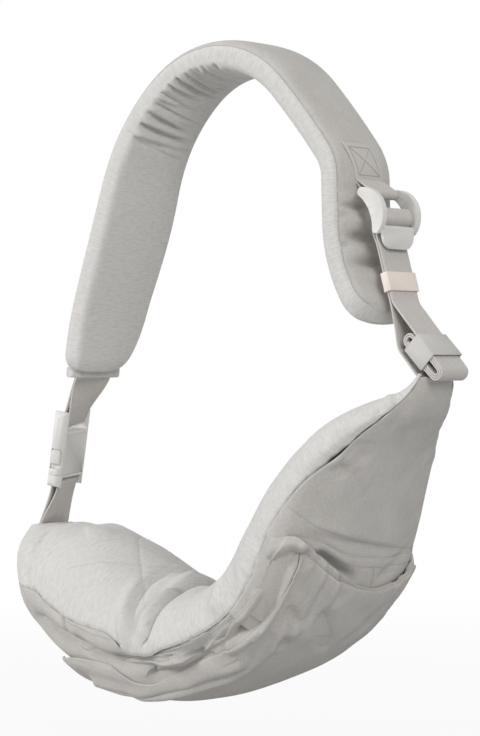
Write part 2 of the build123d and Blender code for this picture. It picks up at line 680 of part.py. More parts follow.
def pocket_region(mouth_low, mouth_high):
    """Side profile under the pocket's edge, between two distances back from its mouth."""
    mouth = Vector(*POCKET_EDGE[-1])
    along = heading(-POCKET_MOUTH)
    back = heading(90 - POCKET_MOUTH) * -1
    reach = POUCH_WIDTH
    with BuildSketch(Plane.XZ) as region:
        with BuildLine():
            edge = Spline(*POCKET_EDGE)
            right = Line(edge @ 1, mouth + along * reach)
            low = Line(right @ 1, mouth + along * reach + back * reach)
            left = Line(low @ 1, (POCKET_EDGE[0][0], mouth.Y - reach))
            Line(left @ 1, edge @ 0)
        make_face()
        with BuildLine():
            near = mouth + back * mouth_low
            far = mouth + back * mouth_high
            Polyline(
                near - along * reach, near + along * reach, far + along * reach, far - along * reach,
                close=True,
            )
        make_face(mode=Mode.INTERSECT)
    return region.sketch


with BuildPart() as pouch_pocket:
    extrude(pocket_region(HEM_WIDTH, 3 * POUCH_WIDTH), amount=POUCH_WIDTH, both=True)
    add(pocket_layer(POCKET_THICK), mode=Mode.INTERSECT)
    add(pouch_shell.part, mode=Mode.SUBTRACT)
pouch_pocket.part.label = "pouch_pocket"

with BuildPart() as pocket_hem:
    extrude(pocket_region(0, HEM_WIDTH), amount=POUCH_WIDTH, both=True)
    add(pocket_layer(POCKET_THICK + HEM_THICK), mode=Mode.INTERSECT)
    add(pouch_shell.part, mode=Mode.SUBTRACT)
pocket_hem.part.label = "pocket_hem"

# Sewn sleeves that close the pouch's ends round the webbing.
sleeves = {}
for name, frame, thick, strap in (
    ("pouch_sleeve_buckle", SLEEVE_LEFT, SLEEVE_THICK_BUCKLE, buckle_webbing_lower),
    ("pouch_sleeve_lock", SLEEVE_RIGHT, SLEEVE_THICK_LOCK, adjuster_strap_load),
):
    with BuildPart() as sleeve:
        with BuildSketch(level_plane(frame, 0)):
            RectangleRounded(thick, SLEEVE_WIDTH, thick / 2 - 1)
        extrude(amount=TAB_SLEEVE, taper=8)
        add(strap.part, mode=Mode.SUBTRACT)
    sleeve.part.label = name
    sleeves[name] = sleeve.part

single_parts = (
    pad_foam, pad_lining, pad_shell, pad_end_binding,
    buckle_webbing_upper, buckle_socket, buckle_plug, buckle_webbing_lower,
    ladder_lock, anchor_webbing, adjuster_strap_bight, adjuster_strap_load, adjuster_strap_tail,
    strap_keeper, strap_roll, tail_elastic,
    pouch_padding, pouch_lining, pouch_shell, pouch_pocket, pocket_hem,
)
pieces = [builder.part for builder in single_parts]
pieces += list(prongs.values()) + list(sleeves.values())

# ---------------------------------------------------------------- export
os.makedirs("parts", exist_ok=True)
for piece in pieces:
    export_step(piece, f"parts/{piece.label}.step")
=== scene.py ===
"""Looks of a one-shoulder padded sling: pad, buckle, ladder lock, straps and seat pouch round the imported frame."""

from math import cos, pi, radians, sin, tan

import bpy
import numpy as np
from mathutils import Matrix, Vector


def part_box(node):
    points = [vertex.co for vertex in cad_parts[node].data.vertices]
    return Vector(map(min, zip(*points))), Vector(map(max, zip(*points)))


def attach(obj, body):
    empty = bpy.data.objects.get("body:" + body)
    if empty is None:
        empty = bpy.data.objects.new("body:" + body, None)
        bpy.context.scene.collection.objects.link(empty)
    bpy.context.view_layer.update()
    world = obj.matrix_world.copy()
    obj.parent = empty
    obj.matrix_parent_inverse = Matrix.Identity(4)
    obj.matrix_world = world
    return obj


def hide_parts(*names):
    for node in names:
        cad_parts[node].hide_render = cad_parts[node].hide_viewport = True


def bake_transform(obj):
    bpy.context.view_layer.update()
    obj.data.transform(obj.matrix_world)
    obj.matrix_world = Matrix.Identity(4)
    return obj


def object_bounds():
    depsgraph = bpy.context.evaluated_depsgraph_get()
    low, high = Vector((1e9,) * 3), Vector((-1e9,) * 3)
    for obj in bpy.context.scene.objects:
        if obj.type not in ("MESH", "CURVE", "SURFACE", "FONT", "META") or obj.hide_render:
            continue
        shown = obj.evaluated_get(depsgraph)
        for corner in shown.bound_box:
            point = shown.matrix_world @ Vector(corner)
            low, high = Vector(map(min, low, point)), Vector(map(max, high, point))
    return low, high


bl_info = {
    "name": "One-shoulder padded sling",
    "version": (1, 0, 0),
    "blender": (4, 5, 0),
    "location": "View3D > Sidebar > Sling",
    "description": "Builds the padded sling's cloth, straps and plastic parts around its frame",
    "category": "Object",
}

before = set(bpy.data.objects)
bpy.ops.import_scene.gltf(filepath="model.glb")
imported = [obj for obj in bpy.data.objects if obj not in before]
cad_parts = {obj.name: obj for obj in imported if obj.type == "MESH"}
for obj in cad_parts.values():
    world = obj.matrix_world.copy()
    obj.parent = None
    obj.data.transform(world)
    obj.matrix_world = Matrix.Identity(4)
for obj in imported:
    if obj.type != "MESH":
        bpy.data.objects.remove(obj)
FRAME_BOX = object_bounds()
MM = 0.001
WEB_HALF, WEB_THICK = 19.0, 1.8  # half width and thickness of all webbing in mm

# Bends of the pad's centre line from its top: length in mm, turn in degrees.
PAD_LEFT = ((73, 38.5), (110, 32), (109, 0), (75, 14))
PAD_RIGHT = ((21, -11.5), (65, -35), (80, -6), (26, -36), (38, 0), (64, 28), (32, 23))
# Half of the pad's thickness in mm, before it swells.
PAD_DEPTH = 13.0
# Creases across the pad's bend: place along the pad in mm, slant, depth and width in mm.
PAD_CREASES = (
    (3, -9, 5.0, 2.2), (-13, -8, 4.0, 1.8), (-27, -8, 7.0, 2.4), (-38, -8, 4.5, 1.8), (-47, -9, 6.5, 2.2),
    (-59, -9, 5.0, 2.0), (-71, -10, 5.5, 2.2), (-84, -9, 4.0, 2.2), (-98, -8, 3.5, 2.4), (-112, -6, 2.0, 2.6),
)
# Dents of the outer face near the lock: place along the pad, place across it, depth, length and width.
PAD_DENTS = (
    (218, -0.45, 6.5, 3.2, 0.4), (232, -0.45, -4.0, 6, 0.25), (246, -0.3, 9.0, 4.6, 0.4), (261, -0.5, -3.5, 6, 0.25),
    (273, -0.2, 7.5, 4.2, 0.45), (288, -0.3, -3.0, 7, 0.35), (205, -0.75, 2.0, 5, 0.2), (238, 0.35, 4.0, 8, 0.4),
    (227, -0.9, 2.8, 3, 0.15), (255, -0.9, 2.8, 3, 0.15), (176, 0.3, 1.5, 9, 0.5),
)

# Stations of the pouch in mm: x, z, heading in degrees, half width, rise, drop.
POUCH_STATIONS = np.array((
    (-254, -428, -86, 27, 16, 10), (-256, -442, -64, 39, 34, 14), (-243, -470, -44, 55, 60, 20),
    (-204, -496, -20, 71, 74, 40), (-140, -513, -10, 85, 70, 59), (-61, -525, -4, 93, 49, 57),
    (22, -512, 20, 99, 50, 48), (86, -472, 45, 101, 60, 48), (122, -410, 66, 97, 60, 41), (155, -352, 50, 83, 42, 28),
    (190, -318, 42, 56, 26, 15), (221, -290, 64, 30, 12, 9), (226, -279, 68, 24, 8, 7),
), float)

# Lines on the pouch: share of the way from the buckle's end to the lock's end, then degrees round it.
# 180 is the near side, 90 the top of the lined side and 270 the bottom; the far side mirrors the near one.
SEAM = (
    (0, 250), (0.03, 243), (0.06, 222), (0.085, 194), (0.11, 178), (0.14, 173), (0.25, 177), (0.33, 172),
    (0.355, 177), (0.37, 186), (0.39, 189), (0.425, 190), (0.455, 184), (0.53, 182), (0.6, 182), (0.643, 181),
    (0.675, 180), (0.71, 179), (0.735, 178), (0.76, 180), (0.781, 184), (0.8, 188), (0.824, 194), (0.845, 200),
    (0.865, 204), (0.889, 207), (0.923, 205), (0.947, 198), (0.97, 190), (1, 184),
)
POCKET_TOP = (
    (0.22, 216), (0.25, 210), (0.29, 207), (0.333, 206), (0.357, 211), (0.38, 217), (0.41, 218), (0.445, 214),
    (0.5, 210), (0.57, 209), (0.608, 211), (0.638, 213), (0.671, 215), (0.701, 216), (0.72, 216),
)
# Lips of the cloths: degrees round the pouch, then share of the way. The strip's lip lies behind the panel's.
STRIP_LIP = (
    (165, 0.69), (172, 0.707), (178, 0.72), (192, 0.726), (202, 0.736), (210, 0.738), (218, 0.731), (226, 0.722),
    (239, 0.707), (252, 0.695), (262, 0.684), (277, 0.677), (293, 0.678), (310, 0.685), (324, 0.69), (345, 0.698),
    (370, 0.69),
)
PANEL_LIP = (
    (206, 0.708), (214, 0.719), (220, 0.717), (226, 0.71), (232, 0.704), (240, 0.696), (252, 0.688), (262, 0.682),
    (277, 0.676), (293, 0.677), (310, 0.684), (324, 0.688), (336, 0.678),
)
BACK_TOP = (
    (196, 0.732), (210, 0.737), (230, 0.735), (246, 0.723), (264, 0.717), (284, 0.712), (309, 0.708), (329, 0.703),
    (345, 0.698),
)

# Rows of stitches.
TOP_STITCH = (
    (0.774, 188), (0.767, 207), (0.756, 224), (0.75, 238), (0.74, 254), (0.734, 270), (0.727, 287), (0.716, 312),
    (0.71, 332),
)
SEAM_STITCH = ((0.455, 186), (0.488, 185), (0.552, 185.5), (0.59, 188.5), (0.628, 191.5), (0.67, 194), (0.705, 195.5))
FOLD_STITCHES = (
    ((0.36, 183), (0.372, 189), (0.39, 192.5), (0.42, 193), (0.445, 189)),
    ((0.37, 192), (0.388, 196), (0.415, 196.5), (0.44, 192.5)),
)
STRIP_STITCHES = (
    SEAM_STITCH, tuple((share, turn + 2.2) for share, turn in SEAM_STITCH), *FOLD_STITCHES,
    ((0.1, 176), (0.16, 176), (0.22, 179)),
)
QUILTING = (
    ((0.199, 60), (0.222, 82), (0.285, 105), (0.335, 122), (0.385, 140)),
    ((0.195, 145), (0.228, 134), (0.26, 119), (0.29, 105), (0.305, 90), (0.315, 74), (0.325, 55)),
)
BACK_TOP_LINE = ((0.733, 220), (0.733, 231), (0.72, 247), (0.713, 264), (0.709, 284), (0.705, 309), (0.7, 325))
BACK_SEAMS = (((0.708, 271), (0.69, 274), (0.672, 275)), ((0.704, 273), (0.688, 276), (0.67, 277.5)))

# The deep crease of the lining. The padded ridge beside it leans over it by a move in mm, over a width in mm.
DEEP_CREASE = (
    (0.352, 50), (0.377, 82), (0.382, 94), (0.39, 110), (0.405, 134), (0.408, 148), (0.414, 166), (0.412, 186),
)
OVERHANG, OVERHANG_WIDTH = 6.0, 8.0
# Folds of each cloth: height in mm (minus is a crease), width in mm, then the line.
LINING_FOLDS = (
    (-0.9, 1.2, ((0.195, 55), (0.222, 82), (0.285, 105), (0.335, 122), (0.39, 142))),
    (-0.7, 1.2, ((0.19, 150), (0.228, 134), (0.26, 119), (0.29, 105), (0.305, 90), (0.315, 74), (0.325, 50))),
    (-12, 2.2, ((0.36, 66), *DEEP_CREASE[1:-1], (0.413, 180))),
    (-19, 2.6, DEEP_CREASE),
    (6.5, 6, (
        (0.335, 60), (0.352, 84), (0.362, 97), (0.374, 114), (0.39, 132), (0.396, 148), (0.404, 166), (0.403, 183),
    )),
    (-5.5, 3.2, ((0.312, 78), (0.325, 104), (0.343, 128), (0.363, 145), (0.386, 164), (0.392, 180))),
    (3, 6, ((0.31, 110), (0.33, 135), (0.352, 155), (0.372, 176))),
    (-2.2, 2, ((0.335, 150), (0.352, 168), (0.368, 182), (0.385, 189))),
    (4, 11, ((0.42, 85), (0.43, 110), (0.44, 135), (0.45, 160))),
    (-2.6, 4.5, ((0.57, 130), (0.558, 149), (0.552, 164), (0.542, 180))),
    (-2.4, 5, ((0.65, 150), (0.63, 166), (0.61, 178), (0.595, 184))),
    (3, 9, ((0.59, 140), (0.585, 160), (0.575, 178))),
    (-2.2, 3, ((0.045, 160), (0.035, 148), (0.028, 138), (0.014, 118))),
    (2.4, 4.5, ((0.065, 165), (0.052, 150), (0.038, 136), (0.02, 112))),
    (-3, 3, ((0.088, 172), (0.07, 156), (0.052, 140), (0.03, 118))),
    (-2.2, 2.6, ((0.115, 176), (0.1, 172), (0.09, 165))),
    (2.5, 14, ((0.13, 110), (0.17, 100), (0.21, 95))),
    (-1.6, 6, ((0.235, 150), (0.24, 165), (0.245, 178))),
    (-2.4, 3, ((0.93, 150), (0.94, 168), (0.93, 186))),
    (-2, 3, ((0.955, 140), (0.965, 165), (0.955, 186))),
    (2.5, 5, ((0.945, 120), (0.953, 150), (0.944, 184))),
    (-1.5, 4, ((0.86, 150), (0.865, 170), (0.858, 184))),
    (-1.4, 3.5, ((0.81, 160), (0.815, 174), (0.81, 184))),
    (-1.5, 4, ((0.71, 162), (0.705, 178), (0.7, 188))),
)
STRIP_FOLDS = (
    *((-0.8, 0.9, line) for line in (SEAM_STITCH, *FOLD_STITCHES)),
    (-0.8, 0.9, ((0.1, 178), (0.16, 177), (0.22, 181))),
    (-3, 4, ((0.475, 196), (0.5, 199), (0.53, 199), (0.55, 201))),
    (-3, 3, ((0.345, 190), (0.352, 200), (0.362, 208))),
    (-3.5, 1.6, ((0.215, 164), (0.226, 175), (0.236, 190), (0.238, 208))),
    (-4.6, 2.6, ((0.255, 186), (0.272, 192), (0.3, 197), (0.33, 205))),
    (3.2, 5, ((0.25, 200), (0.28, 203), (0.31, 205))),
    (-6, 3.5, ((0.405, 204), (0.42, 207), (0.445, 211), (0.485, 210), (0.53, 206))),
    (6.5, 7, ((0.39, 198), (0.43, 199), (0.47, 202), (0.51, 199))),
    (-6.5, 4, ((0.545, 197), (0.562, 195), (0.588, 195), (0.622, 195))),
    (-9, 4.5, ((0.56, 206), (0.6, 205), (0.627, 202), (0.652, 202), (0.675, 206))),
    (4.5, 6, ((0.57, 200), (0.6, 199), (0.64, 197), (0.672, 199))),
    (-6.5, 4, ((0.64, 193), (0.668, 196), (0.695, 202), (0.712, 210))),
    (5, 6, ((0.69, 188), (0.71, 194), (0.725, 202), (0.73, 211), (0.722, 222))),
    (-7, 3.5, ((0.7, 206), (0.715, 210), (0.718, 217), (0.71, 226))),
    (-2.5, 3, ((0.66, 186), (0.685, 186), (0.705, 187))),
    (-2.5, 3, ((0.6, 188), (0.628, 187), (0.65, 186))),
)
PANEL_FOLDS = (
    (8, 7, ((0.695, 217), (0.713, 217), (0.71, 223), (0.702, 231), (0.694, 241), (0.688, 250))),
    (5, 5, ((0.55, 209), (0.57, 211), (0.608, 213), (0.638, 215), (0.671, 217), (0.695, 218), (0.708, 218))),
    (-7, 5.5, ((0.57, 203), (0.6, 205), (0.63, 207), (0.66, 208), (0.69, 209))),
    (-7, 5.5, ((0.672, 224), (0.648, 226), (0.62, 230), (0.59, 237))),
    (4, 9, ((0.69, 229), (0.662, 230), (0.63, 236), (0.591, 248))),
    (-8.5, 7, ((0.684, 238), (0.652, 245), (0.626, 255), (0.59, 270))),
    (3, 10, ((0.676, 248), (0.662, 254), (0.64, 260), (0.61, 264))),
    (-2.5, 9, ((0.668, 270), (0.645, 280), (0.615, 296))),
    (-3, 5, ((0.656, 222), (0.645, 228), (0.636, 236))),
    (-2.5, 9, ((0.62, 222), (0.585, 224), (0.55, 226))),
    (3, 8, ((0.6, 213), (0.56, 213), (0.52, 217))),
    (2, 6, ((0.36, 220), (0.4, 229), (0.45, 225), (0.5, 219))),
    (-1.5, 7, ((0.3, 216), (0.34, 222), (0.38, 232))),
)
UPPER_FOLDS = (
    (-3, 12, ((0.9, 206), (0.878, 222), (0.855, 242))),
    (3.5, 11, ((0.905, 194), (0.87, 204), (0.845, 216))),
    (2.5, 12, ((0.875, 228), (0.85, 240), (0.83, 255))),
    (-1.6, 6, ((0.97, 214), (0.94, 226), (0.91, 238))),
    (-1.5, 7, ((0.95, 255), (0.9, 275), (0.86, 290))),
    (-4.5, 5, ((0.755, 218), (0.742, 242), (0.732, 262), (0.722, 285), (0.718, 300))),
    (3, 6, ((0.765, 210), (0.75, 236), (0.74, 258))),
    (-2, 1.3, ((0.737, 208), (0.736, 230), (0.723, 246), (0.717, 264), (0.712, 284), (0.708, 309), (0.703, 325))),
    (-10, 6, ((0.724, 224), (0.71, 239), (0.698, 252), (0.687, 264))),
    (-1.3, 1.2, ((0.708, 272), (0.69, 275), (0.672, 276.3))),
    (-1.4, 1.6, ((0.694, 277), (0.692, 287), (0.694, 300))),
    (-0.9, 0.9, TOP_STITCH),
    (-3.5, 4, ((0.862, 208), (0.85, 222), (0.838, 230))),
    (2.6, 7, ((0.875, 214), (0.862, 226), (0.85, 236))),
)


# ---------------------------------------------------------------- shapes
def unit(vectors):
    """The same vectors with length one."""
    return vectors / np.maximum(np.linalg.norm(vectors, axis=-1, keepdims=True), 1e-9)


def smooth(low, high, values):
    """Soft step from 0 at low to 1 at high."""
    t = np.clip((values - low) / (high - low), 0, 1)
    return t * t * (3 - 2 * t)


def bell(values, width):
    """Soft hump, 1 at 0, that dies away over a width."""
    return np.exp(-((values / width) ** 2))


def lengths(points, axis=0):
    """Length from the first point to each of the others, along an axis of a grid."""
    steps = np.linalg.norm(np.diff(points, axis=axis), axis=-1)
    return np.insert(np.cumsum(steps, axis), 0, 0.0, axis)


def read(places, at, rows):
    """The columns of a table, whose rows lie at some places, read at others."""
    return [np.interp(places, at, column) for column in rows.T]


def respace(line, step):
    """The same line with evenly spaced points."""
    run = lengths(line)
    return np.stack(read(np.linspace(0, run[-1], max(2, round(run[-1] / step) + 1)), run, line), 1)


def curve_through(rows, count):
    """Dense rows on a natural cubic through a table's rows, spaced evenly along its first two columns."""
    rows = np.asarray(rows, float)
    t = lengths(rows[:, :2])
    n, h = len(t), np.diff(t)
    bend = np.zeros((n, n))
    right = np.zeros((n, rows.shape[1]))
    bend[0, 0] = bend[-1, -1] = 1
    for i in range(1, n - 1):
        bend[i, i - 1:i + 2] = h[i - 1], 2 * (h[i - 1] + h[i]), h[i]
        right[i] = 6 * ((rows[i + 1] - rows[i]) / h[i] - (rows[i] - rows[i - 1]) / h[i - 1])
    curve = np.linalg.solve(bend, right)
    at = np.linspace(0, t[-1], count)
    k = np.clip(np.searchsorted(t, at, side="right") - 1, 0, n - 2)
    a, b, w = (values[:, None] for values in (t[k + 1] - at, at - t[k], h[k]))
    return (
        (curve[k] * a**3 + curve[k + 1] * b**3) / (6 * w)
        + (rows[k] / w - curve[k] * w / 6) * a
        + (rows[k + 1] / w - curve[k + 1] * w / 6) * b
    )


def grid_faces(rows, columns, wrap):
    """Quads of a grid of points, closed round its columns if wrap is set."""
    r, c = np.meshgrid(np.arange(rows - 1), np.arange(columns if wrap else columns - 1), indexing="ij")
    n = (c + 1) % columns
    quads = (r * columns + c, r * columns + n, (r + 1) * columns + n, (r + 1) * columns + c)
    return np.stack(quads, -1).reshape(-1, 4)


def grid_uv(points, wrap):
    """Lengths along and round a grid, in metres, at each corner of its quads."""
    closed = np.concatenate((points, points[:, :1]), 1) if wrap else points
    columns = closed.shape[1]
    round_it = lengths(closed, 1)
    along = np.repeat(lengths(closed[:, columns // 2])[:, None], columns, 1)
    uv = np.stack((along, round_it - round_it[:, -1:] / 2), -1)
    return np.stack((uv[:-1, :-1], uv[:-1, 1:], uv[1:, 1:], uv[1:, :-1]), 2).reshape(-1, 2)


def add_mesh(name, points, faces, uv=None):
    """A smooth-shaded object with its place in its mesh. Points are in metres."""
    mesh = bpy.data.meshes.new(name)
    mesh.from_pydata(np.asarray(points).reshape(-1, 3).tolist(), [], [list(map(int, face)) for face in faces])
    if uv is not None:
        mesh.uv_layers.new(name="cloth").data.foreach_set("uv", np.asarray(uv, np.float32).ravel())
    mesh.shade_smooth()
    mesh.update()
    piece = bpy.data.objects.new(name, mesh)
    bpy.context.collection.objects.link(piece)
    return piece


def add_grid(name, points, wrap=False, caps=False):
    """A cloth surface from a grid of points in metres, with lengths in metres as its UV map."""
    rows, columns = points.shape[:2]
    faces, uv = list(grid_faces(rows, columns, wrap)), grid_uv(points, wrap)
    if caps:
        faces += [range(columns - 1, -1, -1), range((rows - 1) * columns, rows * columns)]
        uv = np.concatenate((uv, np.zeros((2 * columns, 2))))
    return add_mesh(name, points, faces, uv)


def add_cord(name, line, radius):
    """A thin cord along a line of points in metres."""
    along = unit(np.gradient(line, axis=0))
    side = unit(np.cross(along, (0.3, 0.9, 0.3)))
    angle = np.linspace(0, 2 * pi, 7)[:-1, None]
    ring = np.cos(angle) * side[:, None] + np.sin(angle) * np.cross(along, side)[:, None]
    return add_grid(name, line[:, None] + ring * radius, wrap=True, caps=True)


def dress(piece, finish, body, slot, *nodes):
    """Gives a piece its finish, its body and the nodes that it stands for; the slot is not used."""
    piece.data.materials.clear()
    piece.data.materials.append(bpy.data.materials[finish])
    if body:
        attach(piece, body)
    if nodes:
        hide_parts(*nodes)
    return piece


def add_cover(name, grid, finish, fill, *nodes, caps=False):
    """A padded cover on the sling's body, from a grid in mm that faces inwards."""
    cover = dress(add_grid(name, grid[:, ::-1] * MM, caps=caps), finish, "sling", finish.lower(), *nodes)


def placed(pose, x, z):
    """World x, z in mm of points in the side view of a piece that leans towards +X; pose is its x, z and tilt."""
    c, s = cos(radians(pose[2])), sin(radians(pose[2]))
    return np.stack((pose[0] + c * x + s * z, pose[1] - s * x + c * z), -1)


# Poses of the buckle, the ladder lock and the rolled tail: x, z in mm and tilt in degrees.
BUCKLE = (-234, -376, 10)
LOCK = (166, -120, -24)
ROLL = (225, -262, -45)
# The buckle's bars: their heights along it and their radius in mm.
SOCKET_BAR, PLUG_BAR, BAR_RADIUS = 51, -8.6, 2.1


# ---------------------------------------------------------------- materials
def put(tree, kind, *feeds, **settings):
    """A node with its settings, whose sockets are fed by number or name with outputs or plain values."""
    made = tree.nodes.new(f"ShaderNode{kind}")
    for key, value in settings.items():
        setattr(made, key, value)
    for socket, value in feeds:
        if isinstance(value, bpy.types.NodeSocket):
            tree.links.new(value, made.inputs[socket])
        else:
            made.inputs[socket].default_value = value
    return made


def maths(tree, operation, *values, clamp=False):
    """The result of a Math node on numbers or outputs."""
    return put(tree, "Math", *enumerate(values), operation=operation, use_clamp=clamp).outputs[0]


def weighted(tree, a, share, b, other):
    """The sum of two outputs, each times a share."""
    return maths(tree, "ADD", maths(tree, "MULTIPLY", a, share), maths(tree, "MULTIPLY", b, other))


def mix(tree, factor, a, b):
    """A mix of two colours."""
    return put(tree, "Mix", (0, factor), (6, a), (7, b), data_type="RGBA").outputs[2]


def noise(tree, vector, scale, stretch=(1, 1, 1), detail=2.0, roughness=0.5):
    """Noise over a stretched vector, from 0 to 1."""
    spread = put(tree, "Mapping", ("Vector", vector), ("Scale", stretch))
    feeds = ("Vector", spread.outputs[0]), ("Scale", scale), ("Detail", detail), ("Roughness", roughness)
    return put(tree, "TexNoise", *feeds).outputs["Fac"]


def waves(tree, vector, scale, direction, distortion=0.0):
    """Bands across one direction of a vector."""
    feeds = ("Vector", vector), ("Scale", scale), ("Distortion", distortion), ("Detail Scale", 2.0)
    return put(tree, "TexWave", *feeds, bands_direction=direction).outputs["Fac"]


def effect(name, light, dark, value, default, *more):
    """A new effect group: a vector, two tones as (name, grey) and one value in, a colour and a height out."""
    tree = bpy.data.node_groups.new(name, "ShaderNodeTree")
    tree.interface.new_socket("Vector", in_out="INPUT", socket_type="NodeSocketVector")
    for label, grey in (light, dark):
        socket = tree.interface.new_socket(label, in_out="INPUT", socket_type="NodeSocketColor")
        socket.default_value = (grey, grey, grey, 1)
    tree.interface.new_socket(value, in_out="INPUT", socket_type="NodeSocketFloat").default_value = default
    for label in ("Color", "Height", *more):
        kind = "NodeSocketColor" if label == "Color" else "NodeSocketFloat"
        tree.interface.new_socket(label, in_out="OUTPUT", socket_type=kind)
    return tree, tree.nodes.new("NodeGroupInput").outputs, tree.nodes.new("NodeGroupOutput").inputs


def make_melange():
    """Group of streaky two-tone yarn."""
    tree, given, result = effect("Melange yarn", ("Light", 0.8), ("Dark", 0.6), "Streak", 0.5)
    vector = given["Vector"]
    streaks = noise(tree, vector, 1.0, (1100, 70, 1), 3.0, 0.62)
    flecks = noise(tree, vector, 1.0, (420, 150, 1), 2.0, 0.6)
    sharp = maths(tree, "MULTIPLY_ADD", weighted(tree, streaks, 0.6, flecks, 0.4), 5.0, -2.1, clamp=True)
    mask = maths(tree, "MULTIPLY", sharp, given["Streak"])
    tree.links.new(mix(tree, mask, given["Light"], given["Dark"]), result["Color"])
    ribs, loops = waves(tree, vector, 290.0, "Y"), waves(tree, vector, 240.0, "X", 1.5)
    tree.links.new(weighted(tree, ribs, 1.0, loops, 0.6), result["Height"])


def make_weave():
    """Group of plain weave with a slow change of tone."""
    tree, given, result = effect("Plain weave", ("Light", 0.8), ("Dark", 0.6), "Yarn", 420.0)
    vector = given["Vector"]
    cloth = maths(tree, "MULTIPLY", *(waves(tree, vector, given["Yarn"], way) for way in "XY"))
    tone = noise(tree, vector, 26.0, (1, 1, 1), 7.0, 0.72)
    slub = noise(tree, vector, 1.0, (520, 360, 1), 2.0, 0.5)
    shade = maths(tree, "MULTIPLY_ADD", weighted(tree, tone, 0.55, slub, 0.45), 2.2, -0.55, clamp=True)
    tree.links.new(mix(tree, shade, given["Dark"], given["Light"]), result["Color"])
    tree.links.new(weighted(tree, cloth, 1.0, slub, 0.5), result["Height"])


def make_ribs():
    """Group of woven webbing: ribs along it with slanted yarns in them, and painted shade in the valleys between the
    ribs.
    """
    tree, given, result = effect("Ribbed webbing", ("Light", 0.8), ("Dark", 0.6), "Rib", 95.0)
    vector = given["Vector"]
    ribs, yarns = waves(tree, vector, given["Rib"], "Y"), waves(tree, vector, 190.0, "DIAGONAL")
    height = weighted(tree, ribs, 0.8, yarns, 0.45)
    tone = noise(tree, vector, 1.0, (60, 700, 1), 2.0, 0.6)
    # The colour follows the rib height as well as a noise. The valleys between the ribs are painted darker as painted
    # shade, and the noise is the yarn's own uneven tone.
    shade = maths(tree, "MULTIPLY", maths(tree, "ADD", height, tone), 0.5, clamp=True)
    tree.links.new(mix(tree, shade, given["Dark"], given["Light"]), result["Color"])
    tree.links.new(height, result["Height"])


def make_grain():
    """Group of fine moulded or leather-like grain with wear from a slow noise."""
    tree, given, result = effect("Fine grain", ("Base", 0.8), ("Worn", 0.9), "Size", 900.0, "Gloss")
    pores = put(tree, "TexVoronoi", ("Vector", given["Vector"]), ("Scale", given["Size"]))
    haze = noise(tree, given["Vector"], 60.0, (1, 1, 1), 3.0, 0.6)
    tree.links.new(mix(tree, haze, given["Base"], given["Worn"]), result["Color"])
    tree.links.new(pores.outputs["Distance"], result["Height"])
    tree.links.new(maths(tree, "MULTIPLY", haze, 0.25), result["Gloss"])


def empty_tree(owner):
    """The node tree of a material or world, with nothing in it."""
    owner.use_nodes = True
    owner.node_tree.nodes.clear()
    return owner.node_tree


def make_finish(name, pattern, colours, value, roughness, bump, from_uv=True, sheen=0.0):
    """A material from one effect group: two tones, the group's own value, and a bump depth in metres."""
    tree = empty_tree(bpy.data.materials.new(name))
    vector = put(tree, "UVMap" if from_uv else "TexCoord").outputs["UV" if from_uv else "Object"]
    tones = ((1 + index, (*colour, 1)) for index, colour in enumerate(colours))
    look = put(tree, "Group", ("Vector", vector), *tones, (3, value), node_tree=bpy.data.node_groups[pattern])
    relief = put(tree, "Bump", ("Strength", 0.6), ("Distance", bump), ("Height", look.outputs["Height"]))
    shader = put(
        tree, "BsdfPrincipled", ("Base Color", look.outputs["Color"]), ("Normal", relief.outputs["Normal"]),
        ("Roughness", roughness), ("Sheen Weight", sheen), ("Sheen Roughness", 0.5),
        ("Specular IOR Level", 0.25 if from_uv else 0.5))
    if "Gloss" in look.outputs:
        rough = maths(tree, "ADD", look.outputs["Gloss"], roughness - 0.12)
        tree.links.new(rough, shader.inputs["Roughness"])
    put(tree, "OutputMaterial", ("Surface", shader.outputs[0]))


class SlingColours(bpy.types.PropertyGroup):
    """Colours of the sling's materials."""

    jersey: bpy.props.FloatVectorProperty(
        name="Jersey", description="Light yarn of the melange jersey", default=(0.71, 0.695, 0.67), subtype="COLOR")
    jersey_fleck: bpy.props.FloatVectorProperty(
        name="Jersey fleck", description="Dark yarn of the jersey", default=(0.52, 0.50, 0.475), subtype="COLOR")
    woven: bpy.props.FloatVectorProperty(
        name="Woven", description="Outer woven cloth", default=(0.66, 0.635, 0.60), subtype="COLOR")
    webbing: bpy.props.FloatVectorProperty(
        name="Webbing", description="Strap webbing", default=(0.66, 0.63, 0.60), subtype="COLOR")
    plastic: bpy.props.FloatVectorProperty(
        name="Plastic", description="Buckle and ladder lock", default=(0.70, 0.685, 0.655), subtype="COLOR")
    keeper: bpy.props.FloatVectorProperty(
        name="Keeper", description="Leather-like keeper", default=(0.79, 0.71, 0.65), subtype="COLOR")


class SlingSizes(bpy.types.PropertyGroup):
    """Sizes that set how full and how softly moulded the sling looks."""

    pad_depth: bpy.props.FloatProperty(
        name="Pad depth", description="Half of the pad's thickness at its edges", default=0.0122, unit="LENGTH")
    pad_crown: bpy.props.FloatProperty(
        name="Pad crown", description="How far the pad's faces swell", default=0.0038, unit="LENGTH")
    bevel: bpy.props.FloatProperty(
        name="Plastic edge", description="Radius of moulded edges", default=0.0005, unit="LENGTH")


def shaded(tone, share):
    """A lighter or darker colour of the same hue."""
    return tuple(channel * share for channel in tone)


